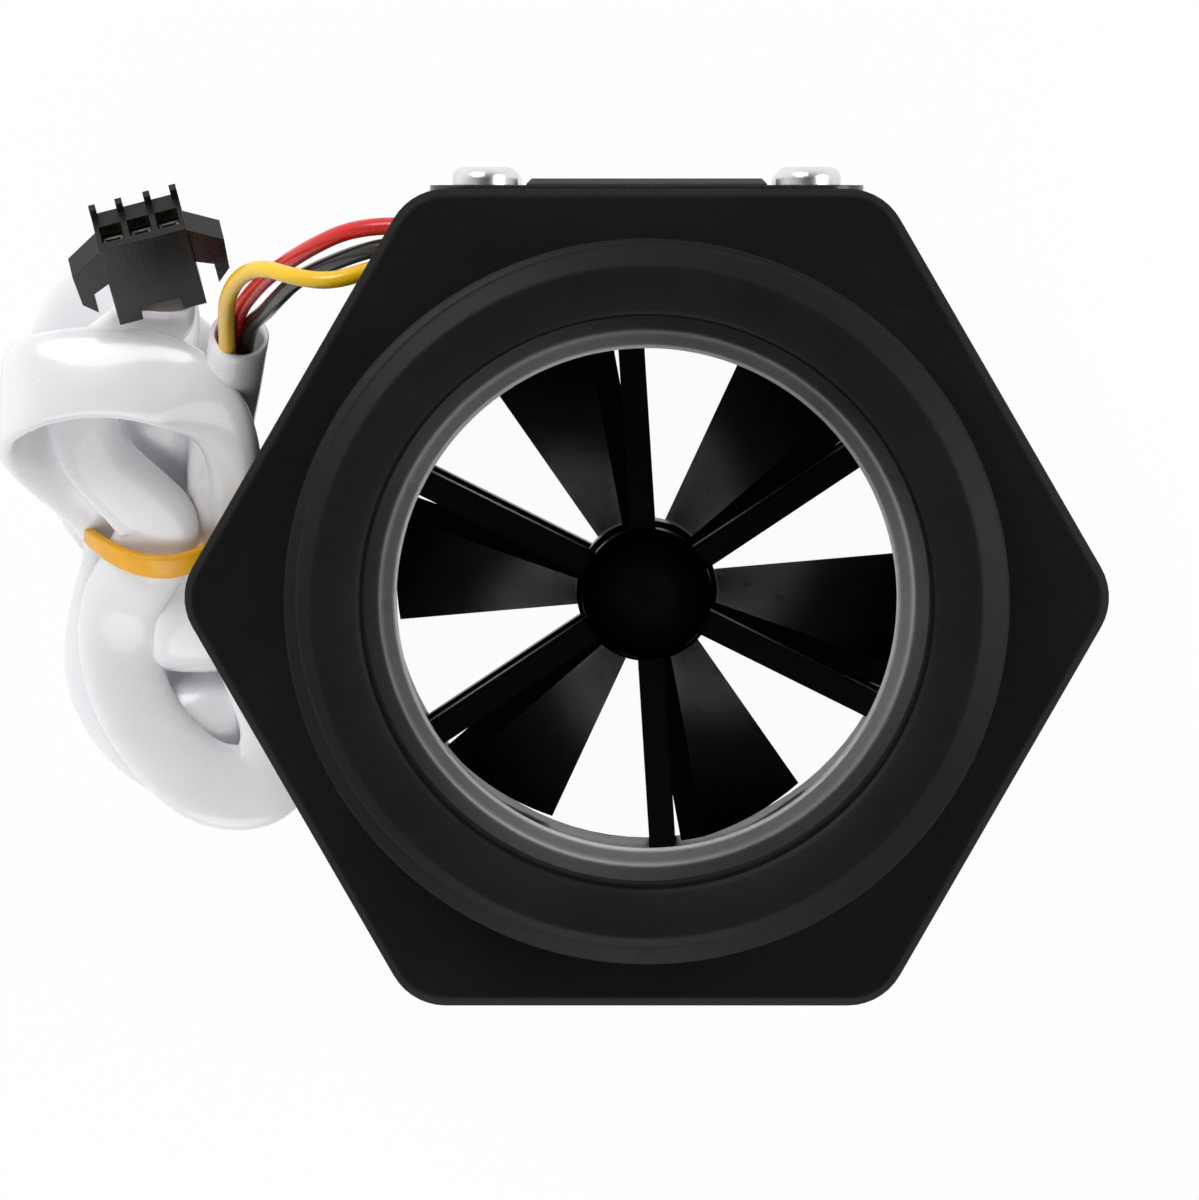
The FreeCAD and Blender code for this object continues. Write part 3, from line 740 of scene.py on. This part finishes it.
@dataclass
class SoftSleeve:
    """Long white sleeve: open mouth, folded hank and the end that enters the connector."""

    diameter: float = 5.2 * MM
    wall: float = 0.4 * MM
    mouth_depth: float = 14.0 * MM
    around: int = 28
    length: float = 0.403
    squareness: float = 2.5
    flat_from: float = 0.8 * MM
    stops: List[Stop] = field(default_factory=lambda: list(SLEEVE_STOPS))

    def build(self) -> bpy.types.Object:
        """Returns:
            The sleeve as one closed mesh.
        """
        centres = [Vector(s.place) * MM for s in self.stops]
        line = spline_line("sleeve_line", centres)
        facings = [Vector(s.facing).normalized() for s in self.stops]
        halves = [Vector((s.wide, s.thick, 0)) * MM for s in self.stops]
        looks = spline_line("sleeve_facing", [c + f for c, f in zip(centres, facings)])
        sizes = spline_line("sleeve_size", [c + h for c, h in zip(centres, halves)])
        line, looks, sizes = self._without_doubles(line, looks, sizes)
        rings = [self._ring(line, looks, sizes, i, 0.0) for i in range(len(line))]
        deep = self._inner_count(line)
        lining = [self._ring(line, looks, sizes, i, self.wall) for i in range(deep)]
        piece = self._mesh(rings, lining, line)
        dress(piece, SLEEVE_PVC.make())
        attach(piece, METER)
        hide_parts("sleeve_lead", "sleeve_hank", "sleeve_tail")
        LOG.info("sleeve: %.1f mm long, %d rings", run_length(line) / MM, len(line))
        return piece

    @staticmethod
    def _without_doubles(
        line: List[Vector], looks: List[Vector], sizes: List[Vector]
    ) -> Tuple[List[Vector], List[Vector], List[Vector]]:
        """Drop points that fall on the one before.

        Args:
            line: points along the sleeve.
            looks: the same points, moved one unit the way the flat side looks.
            sizes: the same points, moved by the half sizes.

        Returns:
            The three lists, without the doubles.
        """
        steps = range(1, len(line))
        keep = [0] + [i for i in steps if (line[i] - line[i - 1]).length > SAME_POINT]
        return [line[i] for i in keep], [looks[i] for i in keep], [sizes[i] for i in keep]

    def _inner_count(self, line: Sequence[Vector]) -> int:
        """Number of rings from the mouth that have a lining.

        Args:
            line: points along the sleeve.

        Returns:
            The number of rings.
        """
        run = 0.0
        for i in range(1, len(line)):
            run += (line[i] - line[i - 1]).length
            if run > self.mouth_depth:
                return i
        return len(line)

    def _ring(
        self,
        line: Sequence[Vector],
        looks: Sequence[Vector],
        sizes: Sequence[Vector],
        i: int,
        inset: float,
    ) -> List[Vector]:
        """Outline of the sleeve at one point of its line.

        Args:
            line: points along the sleeve.
            looks: the same points, moved one unit the way the flat side looks.
            sizes: the same points, moved by half the width and half the thickness.
            i: which point.
            inset: how far the outline lies inside the skin.

        Returns:
            The outline's points, in order.
        """
        ahead = (line[min(i + 1, len(line) - 1)] - line[max(i - 1, 0)]).normalized()
        facing = looks[i] - line[i]
        facing = (facing - ahead * facing.dot(ahead)).normalized()
        side = facing.cross(ahead)
        wide = sizes[i].x - line[i].x - inset
        thick = sizes[i].y - line[i].y - inset
        flat = min(max((wide - thick) / self.flat_from, 0.0), 1.0)
        power = 2 / (2 + (self.squareness - 2) * flat)
        outline = []
        for k in range(self.around):
            angle = 2 * math.pi * k / self.around
            c, s = math.cos(angle), math.sin(angle)
            across = math.copysign(abs(c) ** power, c) * wide
            up = math.copysign(abs(s) ** power, s) * thick
            outline.append(line[i] + side * across + facing * up)
        return outline

    def _mesh(
        self, rings: List[List[Vector]], lining: List[List[Vector]], line: List[Vector]
    ) -> bpy.types.Object:
        """Skin the rings: outside, rim of the mouth, lining and both closing caps.

        Args:
            rings: outlines of the outside, from the mouth to the connector.
            lining: outlines of the inside, from the mouth inwards.
            line: points along the sleeve.

        Returns:
            The sleeve, with a map that has U round it and V along it.
        """
        shell = bmesh.new()
        run_map = shell.loops.layers.uv.new("run")
        bands = list(reversed(lining)) + rings
        travel = [0.0]
        for a, b in zip(line, line[1:]):
            travel.append(travel[-1] + (b - a).length)
        lengths = list(reversed(travel[: len(lining)])) + travel
        made = [[shell.verts.new(p) for p in band] for band in bands]
        for j in range(len(made) - 1):
            for k in range(self.around):
                m = (k + 1) % self.around
                face = shell.faces.new((made[j][k], made[j][m], made[j + 1][m], made[j + 1][k]))
                face.smooth = True
                corners = ((k, j), (k + 1, j), (k + 1, j + 1), (k, j + 1))
                for loop, (u, v) in zip(face.loops, corners):
                    loop[run_map].uv = (u / self.around * math.pi * self.diameter, lengths[v])
        shell.faces.new(made[0])
        shell.faces.new(list(reversed(made[-1])))
        bmesh.ops.recalc_face_normals(shell, faces=shell.faces)
        data = bpy.data.meshes.new("sleeve")
        shell.to_mesh(data)
        shell.free()
        piece = bpy.data.objects.new("sleeve", data)
        bpy.context.scene.collection.objects.link(piece)
        return piece


FLAT = (3.6, 1.2)
ARCH = (4.05, 1.25)
WAIST = (2.8, 1.7)


def stop(x: float, y: float, z: float, facing: Triple, shape: Tuple[float, float]) -> Stop:
    """Short form of a control point of the sleeve.

    Args:
        x: place along X, in millimetres.
        y: place along Y, in millimetres.
        z: height over the floor, in millimetres.
        facing: the way the flat side looks.
        shape: half the width and half the thickness.

    Returns:
        The control point.
    """
    return Stop((x, y, z), facing, shape[0], shape[1])


UP = (0.0, 0.0, 1.0)
DOWN = (0.0, 0.0, -1.0)

SLEEVE_STOPS = (
    # open mouth and the round run down to the hank
    stop(-35.5, 21.7, 34.0, (0.0, -0.70, 0.70), (2.6, 2.6)),
    stop(-36.2, 17.8, 29.1, (0.0, -0.76, 0.64), (2.6, 2.6)),
    stop(-37.2, 14.2, 23.8, (0.0, -0.80, 0.58), (2.7, 2.4)),
    stop(-37.6, 10.6, 19.2, (0.0, -0.60, 0.80), (2.9, 2.0)),
    stop(-37.8, 6.6, 15.8, (0.0, -0.40, 0.92), (2.8, 1.7)),
    stop(-38.6, 2.6, 13.4, (0.0, -0.25, 0.97), WAIST),
    # short fold on top, below the band
    stop(-39.6, -1.2, 12.4, (0.0, -0.20, 0.98), (3.1, 1.35)),
    stop(-40.2, -4.2, 11.6, (0.0, -0.35, 0.94), (3.5, 1.2)),
    stop(-40.2, -6.8, 10.6, (0.0, -0.90, 0.45), FLAT),
    stop(-40.0, -7.3, 8.0, (0.0, -1.0, -0.25), FLAT),
    stop(-40.4, -5.2, 6.7, (0.0, -0.35, -0.94), (3.3, 1.2)),
    stop(-41.4, -1.6, 6.5, DOWN, (2.9, 1.35)),
    stop(-43.0, 2.6, 7.0, DOWN, WAIST),
    # lowest loop on the floor, away from the band
    stop(-46.6, 6.6, 5.2, DOWN, (3.0, 1.4)),
    stop(-50.2, 11.2, 3.4, DOWN, FLAT),
    stop(-51.4, 16.6, 2.4, DOWN, FLAT),
    stop(-49.0, 21.0, 2.2, DOWN, FLAT),
    stop(-44.2, 22.0, 2.2, DOWN, FLAT),
    stop(-40.2, 19.2, 2.3, DOWN, FLAT),
    stop(-38.8, 14.4, 2.6, DOWN, FLAT),
    stop(-40.4, 8.8, 2.8, DOWN, (3.1, 1.4)),
    stop(-42.4, 3.0, 3.2, DOWN, WAIST),
    # inner fold on the floor, below the band
    stop(-40.8, -2.2, 3.7, DOWN, (3.0, 1.35)),
    stop(-40.1, -6.6, 4.0, (0.0, 0.4, -0.9), FLAT),
    stop(-39.7, -10.2, 7.3, (0.0, 0.4, -0.9), FLAT),
    stop(-39.5, -13.6, 7.6, (0.0, 0.2, -0.98), FLAT),
    stop(-39.5, -15.2, 4.6, (0.0, 0.99, -0.1), FLAT),
    stop(-40.0, -12.6, 1.5, (0.0, 0.2, 0.98), FLAT),
    stop(-42.0, -7.0, 1.5, UP, FLAT),
    stop(-45.0, -2.0, 2.8, UP, (3.0, 1.35)),
    stop(-47.0, 3.0, 5.8, UP, WAIST),
    # rear loop, behind the connector
    stop(-50.0, 7.2, 7.4, (-0.25, 0.0, 0.97), (3.0, 1.4)),
    stop(-51.6, 12.2, 9.0, (-0.25, 0.0, 0.97), FLAT),
    stop(-51.8, 18.0, 10.6, (-0.2, 0.1, 0.97), FLAT),
    stop(-50.6, 23.0, 12.2, (-0.1, 0.2, 0.97), FLAT),
    stop(-47.2, 26.2, 13.4, (0.0, 0.2, 0.97), FLAT),
    stop(-43.0, 25.0, 14.6, (0.0, 0.2, 0.97), FLAT),
    stop(-43.0, 20.0, 17.6, (0.0, 0.1, 0.97), FLAT),
    stop(-43.2, 14.0, 18.6, UP, FLAT),
    stop(-41.4, 9.0, 13.8, (0.0, -0.35, 0.94), (3.2, 1.4)),
    stop(-38.6, 4.2, 7.0, (0.0, -0.4, 0.9), WAIST),
    # middle loop below the band
    stop(-37.6, -1.0, 5.4, UP, (3.0, 1.35)),
    stop(-34.2, -6.6, 5.6, UP, FLAT),
    stop(-32.4, -12.0, 5.9, UP, FLAT),
    stop(-34.6, -17.0, 5.9, UP, FLAT),
    stop(-40.4, -17.0, 5.6, UP, FLAT),
    stop(-45.6, -13.8, 5.6, UP, FLAT),
    stop(-48.4, -8.6, 6.0, UP, FLAT),
    stop(-48.2, -3.0, 7.6, (-0.2, 0.0, 0.98), (3.3, 1.3)),
    stop(-47.0, 3.2, 11.2, (-0.3, -0.4, 0.87), (2.4, 1.8)),
    # front arch: up the left side, a fold, over, and down on the right
    stop(-48.8, 6.6, 14.4, (-0.15, -0.35, 0.92), (2.8, 1.5)),
    stop(-51.6, 9.8, 17.2, (0.1, -0.35, 0.93), (3.5, 1.25)),
    stop(-54.6, 13.2, 20.6, (0.55, -0.2, 0.8), FLAT),
    stop(-56.0, 15.4, 24.6, (0.97, 0.0, 0.2), (3.7, 1.2)),
    stop(-54.6, 17.4, 28.4, (0.6, 0.0, -0.8), ARCH),
    stop(-51.0, 18.3, 29.6, (0.15, -0.15, -0.97), ARCH),
    stop(-47.0, 18.5, 30.2, (0.08, -0.20, -0.98), ARCH),
    stop(-42.8, 18.0, 30.8, (0.08, -0.12, -0.99), ARCH),
    stop(-39.6, 16.4, 31.2, (0.22, 0.14, -0.96), (3.8, 1.25)),
    stop(-37.2, 13.6, 29.6, (0.42, 0.32, -0.85), (3.4, 1.25)),
    stop(-36.1, 10.2, 25.2, (0.60, 0.50, -0.62), (3.0, 1.3)),
    stop(-36.0, 6.2, 18.6, (0.52, 0.66, -0.54), (2.8, 1.4)),
    stop(-37.0, 2.8, 9.8, (0.3, 0.75, -0.58), WAIST),
    # large loop below the band
    stop(-36.8, -2.4, 9.2, (0.0, 0.2, -0.98), (3.1, 1.35)),
    stop(-34.2, -8.0, 9.0, DOWN, FLAT),
    stop(-32.0, -13.8, 8.8, DOWN, FLAT),
    stop(-33.6, -18.4, 8.7, DOWN, (3.85, 1.2)),
    stop(-38.4, -18.6, 8.7, DOWN, (3.8, 1.2)),
    stop(-42.2, -15.8, 8.7, DOWN, FLAT),
    stop(-45.2, -12.0, 8.8, DOWN, FLAT),
    stop(-46.9, -7.0, 9.4, DOWN, FLAT),
    stop(-46.8, -2.4, 11.2, (0.1, 0.2, -0.97), FLAT),
    stop(-44.6, 1.2, 14.6, (0.1, 0.45, -0.88), (3.6, 1.5)),
    # tail through the arch, up to the connector
    stop(-42.6, 4.8, 17.0, (0.05, 0.35, -0.93), (3.8, 1.4)),
    stop(-45.2, 7.6, 18.6, (0.1, 0.30, -0.95), (3.4, 1.3)),
    stop(-48.8, 11.0, 20.0, (0.1, 0.25, -0.96), (3.2, 1.25)),
    stop(-50.0, 15.4, 21.4, (0.1, 0.3, -0.95), (3.4, 1.25)),
    stop(-47.8, 19.4, 22.8, (0.0, 0.6, -0.8), FLAT),
    stop(-44.4, 22.0, 25.4, (0.0, 0.72, -0.69), FLAT),
    stop(-42.8, 23.6, 28.2, (0.0, 0.78, -0.62), (3.7, 1.3)),
    stop(-42.6, 25.1, 30.7, (0.0, 0.78, -0.62), (3.2, 1.6)),
)


@dataclass
class RubberBand:
    """Amber rubber band that ties the hank at its waist."""

    width: float = 2.2 * MM
    thickness: float = 0.8 * MM
    centre: Triple = (-42.4, 6.1, 9.6)
    half_width: float = 7.8
    half_height: float = 8.5
    lean: float = 0.55
    skew: float = 0.10
    twist: float = 0.65
    ripple: float = 0.25
    ripples: int = 3
    ripple_phase: float = 0.6
    sag: float = 0.6
    sag_swing: float = 0.4
    edge_round: float = 0.25 * MM
    crease: float = 50.0
    segments: int = 96

    def build(self) -> bpy.types.Object:
        """Make the band.

        Returns:
            The band as a closed strip.
        """
        deselect()
        bpy.ops.mesh.primitive_cylinder_add(
            vertices=self.segments, radius=1.0, depth=self.width, end_fill_type="NOTHING"
        )
        piece = bpy.context.object
        piece.name = "rubber_band"
        for vertex in piece.data.vertices:
            turn = math.atan2(vertex.co.y, vertex.co.x)
            vertex.co = self._at(turn, vertex.co.z)
        apply_modifier(piece, "SOLIDIFY", thickness=self.thickness, offset=0.0)
        apply_modifier(
            piece, "BEVEL", width=self.edge_round, segments=3, limit_method="ANGLE"
        )
        clean_normals(piece, FINE_WELD)
        smooth(piece, self.crease)
        dress(piece, BAND_RUBBER.make())
        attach(piece, METER)
        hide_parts("hank_band")
        return piece

    def _at(self, turn: float, shift: float) -> Vector:
        """Point of the band's middle surface, from its turn and its place across the width.

        Args:
            turn: angle round the band, in radians.
            shift: distance from its middle line, in metres.

        Returns:
            The point.
        """
        x, y, z = self.centre
        rise = self.half_height * math.sin(turn)
        across = self.half_width * math.cos(turn)
        wave = self.ripple * math.sin(self.ripples * turn + self.ripple_phase)
        dip = rise * self.lean * (self.sag + self.sag_swing * math.sin(turn))
        middle = Vector((x + across, y + across * self.skew - dip + wave, z + rise)) * MM
        roll = self.lean + self.twist * (1 - abs(math.sin(turn)))
        return middle + Vector((0.0, math.cos(roll), math.sin(roll))) * shift


# ---------------------------------------------------------------- body
@dataclass
class ThreadedBody:
    """The moulded body with parallel pipe threads cut into both spigots."""

    major_radius: float = 29.807 * MM
    depth: float = 1.43 * MM
    pitch: float = 2.309 * MM
    flank: float = math.tan(math.radians(27.5))
    root_flat: float = 0.34 * MM
    overcut: float = 0.3 * MM
    turns: int = 9
    steps: int = 96
    outlet_start: float = -2.0 * MM
    inlet_start: float = -18.5 * MM
    crease: float = 24.0

    def build(self, packed: bpy.types.Object) -> bpy.types.Object:
        """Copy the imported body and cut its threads.

        Args:
            packed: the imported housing.

        Returns:
            The threaded body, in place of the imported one.
        """
        piece = packed.copy()
        piece.data = packed.data.copy()
        piece.name = "threaded_body"
        piece.parent = None
        for key in list(piece.keys()):
            del piece[key]
        bpy.context.scene.collection.objects.link(piece)
        clean_body(piece)
        low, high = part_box("housing")
        for start in (low.z + self.outlet_start, high.z + self.inlet_start):
            cutter = self._cutter(start)
            apply_modifier(piece, "BOOLEAN", operation="DIFFERENCE", solver="EXACT", object=cutter)
            bpy.data.objects.remove(cutter)
        smooth(piece, self.crease)
        dress(piece, BLACK_NYLON.make())
        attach(piece, METER)
        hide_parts("housing")
        return piece

    def _cutter(self, start: float) -> bpy.types.Object:
        """Helical groove tool, its first turn at a start height.

        Args:
            start: height of the groove's first turn, in metres.

        Returns:
            The tool, as a closed mesh.
        """
        deselect()
        bpy.ops.mesh.primitive_plane_add(size=1.0)
        tool = bpy.context.object
        tool.name = "thread_tool"
        root = self.major_radius - self.depth
        outer = self.major_radius + self.overcut
        half_root = self.root_flat / 2
        half_mouth = half_root + (outer - root) * self.flank
        section = (
            (root, -half_root), (root, half_root), (outer, -half_mouth), (outer, half_mouth),
        )
        corners = sorted(tool.data.vertices, key=lambda v: (round(v.co.x, 3), round(v.co.y, 3)))
        for vertex, (radius, height) in zip(corners, section):
            vertex.co = (radius, 0.0, start + height)
        take(tool)
        bpy.ops.object.mode_set(mode="EDIT")
        bpy.ops.mesh.select_all(action="SELECT")
        bpy.ops.mesh.delete(type="ONLY_FACE")
        bpy.ops.object.mode_set(mode="OBJECT")
        apply_modifier(
            tool, "SCREW", axis="Z", angle=2 * math.pi, screw_offset=self.pitch,
            iterations=self.turns, steps=self.steps, render_steps=self.steps,
            use_merge_vertices=False,
        )
        take(tool)
        bpy.ops.object.mode_set(mode="EDIT")
        bpy.ops.mesh.select_all(action="SELECT")
        bpy.ops.mesh.remove_doubles(threshold=FINE_WELD)
        bpy.ops.mesh.select_all(action="DESELECT")
        bpy.ops.mesh.select_mode(type="VERT")
        bpy.ops.mesh.select_non_manifold()
        bpy.ops.mesh.fill()
        bpy.ops.mesh.select_all(action="SELECT")
        bpy.ops.mesh.normals_make_consistent(inside=False)
        bpy.ops.object.mode_set(mode="OBJECT")
        return tool


def clean_body(piece: bpy.types.Object) -> None:
    """Join a copy's loose triangles into one skin, leaving the way they face.

    Args:
        piece: the copy.
    """
    take(piece)
    bpy.ops.object.mode_set(mode="EDIT")
    bpy.ops.mesh.select_all(action="SELECT")
    bpy.ops.mesh.remove_doubles(threshold=SKIN_WELD)
    bpy.ops.object.mode_set(mode="OBJECT")
    if piece.data.has_custom_normals:
        bpy.ops.mesh.customdata_custom_splitnormals_clear()


# ---------------------------------------------------------------- studio
@dataclass(frozen=True)
class Lamp:
    """One soft disk lamp, aimed at the meter."""

    name: str
    place: Triple
    size: float
    power: float


@dataclass
class Studio:
    """Camera over the inlet, soft lamps round the meter, and a white floor."""

    eye: Triple = (0.0, 0.0246, 1.470)
    aim: Triple = (-0.00387, 0.00015, 0.120)
    lens: float = 494.1
    floor_size: float = 6.0
    floor_height: float = -0.0001
    floor_glow: float = 0.97
    sky_sides: float = 0.92
    sky_above: float = 0.02
    lamp_target: Triple = (0.0, 0.0, 0.05)
    lamp_plan: Tuple[Lamp, ...] = (
        Lamp("key", (-0.55, 0.75, 0.95), 0.7, 8.5),
        Lamp("fill", (0.8, 0.15, 0.75), 0.8, 4.2),
        Lamp("front", (-0.1, -0.9, 0.6), 0.8, 3.4),
    )

    def camera(self) -> None:
        """Set the camera."""
        data = bpy.data.cameras.new("camera")
        data.lens = self.lens
        data.sensor_width = 36.0
        data.clip_start = 0.05
        data.clip_end = 20.0
        piece = bpy.data.objects.new("camera", data)
        piece.location = self.eye
        back = (Vector(self.eye) - Vector(self.aim)).normalized()
        right = Vector((0.0, 1.0, 0.0)).cross(back).normalized()
        turn = Matrix((right, back.cross(right), back)).transposed()
        piece.rotation_mode = "QUATERNION"
        piece.rotation_quaternion = turn.to_quaternion()
        bpy.context.scene.collection.objects.link(piece)
        bpy.context.scene.camera = piece

    def floor(self) -> None:
        """Lay the white floor."""
        deselect()
        place = (0.0, 0.0, self.floor_height)
        bpy.ops.mesh.primitive_plane_add(size=self.floor_size, location=place)
        plane = bpy.context.object
        plane.name = "floor"
        finish = Finish("floor_white")
        finish.set(Base_Color=grey(0.9), Roughness=0.9, Specular_IOR_Level=0.0)
        rays = finish.node("ShaderNodeLightPath", {}, {})
        seen = Wire(finish, rays.outputs["Is Camera Ray"])
        shiny = Wire(finish, rays.outputs["Is Glossy Ray"])
        through = Wire(finish, rays.outputs["Is Transmission Ray"])
        white = finish.node("ShaderNodeEmission", {}, {"Color": grey(1.0), "Strength": 1.0})
        glow = (seen + shiny + through) * self.floor_glow
        mix = finish.node("ShaderNodeMixShader", {}, {0: glow})
        finish.tree.links.new(finish.body.outputs[0], mix.inputs[1])
        finish.tree.links.new(white.outputs[0], mix.inputs[2])
        finish.tree.links.new(mix.outputs[0], finish.output.inputs[0])
        dress(plane, finish.material)

    def lamps(self) -> None:
        """Hang the soft lamps."""
        for plan in self.lamp_plan:
            data = bpy.data.lights.new(plan.name, "AREA")
            data.shape = "DISK"
            data.size = plan.size
            data.energy = plan.power
            lamp = bpy.data.objects.new(plan.name, data)
            lamp.location = plan.place
            aim = Vector(self.lamp_target) - Vector(plan.place)
            lamp.rotation_mode = "QUATERNION"
            lamp.rotation_quaternion = aim.to_track_quat("-Z", "Y")
            bpy.context.scene.collection.objects.link(lamp)

    def sky(self) -> None:
        """Set the world: white behind the object, paler light from the sides than from above."""
        world = bpy.data.worlds.new("studio")
        bpy.context.scene.world = world
        world.use_nodes = True
        tree = world.node_tree
        tree.nodes.clear()
        output = tree.nodes.new("ShaderNodeOutputWorld")
        lit = tree.nodes.new("ShaderNodeBackground")
        shown = tree.nodes.new("ShaderNodeBackground")
        mix = tree.nodes.new("ShaderNodeMixShader")
        rays = tree.nodes.new("ShaderNodeLightPath")
        lit.inputs["Color"].default_value = grey(1.0)
        self._side_light(tree, lit)
        shown.inputs["Color"].default_value = grey(1.0)
        shown.inputs["Strength"].default_value = 1.0
        tree.links.new(rays.outputs["Is Camera Ray"], mix.inputs[0])
        tree.links.new(lit.outputs[0], mix.inputs[1])
        tree.links.new(shown.outputs[0], mix.inputs[2])
        tree.links.new(mix.outputs[0], output.inputs[0])

    def _side_light(self, tree: bpy.types.NodeTree, lit: bpy.types.Node) -> None:
        """Feed the strength of the sky: strong from the sides, weak round the camera above.

        Args:
            tree: the world's nodes.
            lit: the background that lights the object.
        """
        place = tree.nodes.new("ShaderNodeTexCoord")
        parts = tree.nodes.new("ShaderNodeSeparateXYZ")
        square = tree.nodes.new("ShaderNodeMath")
        square.operation = "MULTIPLY"
        fade = tree.nodes.new("ShaderNodeMath")
        fade.operation = "MULTIPLY_ADD"
        fade.inputs[1].default_value = self.sky_above - self.sky_sides
        fade.inputs[2].default_value = self.sky_sides
        tree.links.new(place.outputs["Generated"], parts.inputs[0])
        tree.links.new(parts.outputs["Z"], square.inputs[0])
        tree.links.new(parts.outputs["Z"], square.inputs[1])
        tree.links.new(square.outputs[0], fade.inputs[0])
        tree.links.new(fade.outputs[0], lit.inputs["Strength"])

    def build(self) -> None:
        """Set up the whole studio."""
        self.floor()
        self.lamps()
        self.sky()
        bpy.context.scene.view_settings.view_transform = "Standard"


def main() -> None:
    """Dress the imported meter."""
    logging.basicConfig(level=logging.INFO, format="%(name)s: %(message)s")
    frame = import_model()
    studio = Studio()
    studio.camera()
    SignalWires().build()
    SoftSleeve().build()
    RubberBand().build()
    LOG.info("lead built")
    ThreadedBody().build(frame["nodes"]["housing"])
    LOG.info("body threaded")
    for name, finish in PACKED_FINISHES.items():
        dress(frame["nodes"][name], finish.make())
        LOG.info("%s: %s", name, finish.name)
    studio.build()
    LOG.info("studio built")


if __name__ == "__main__":
    main()
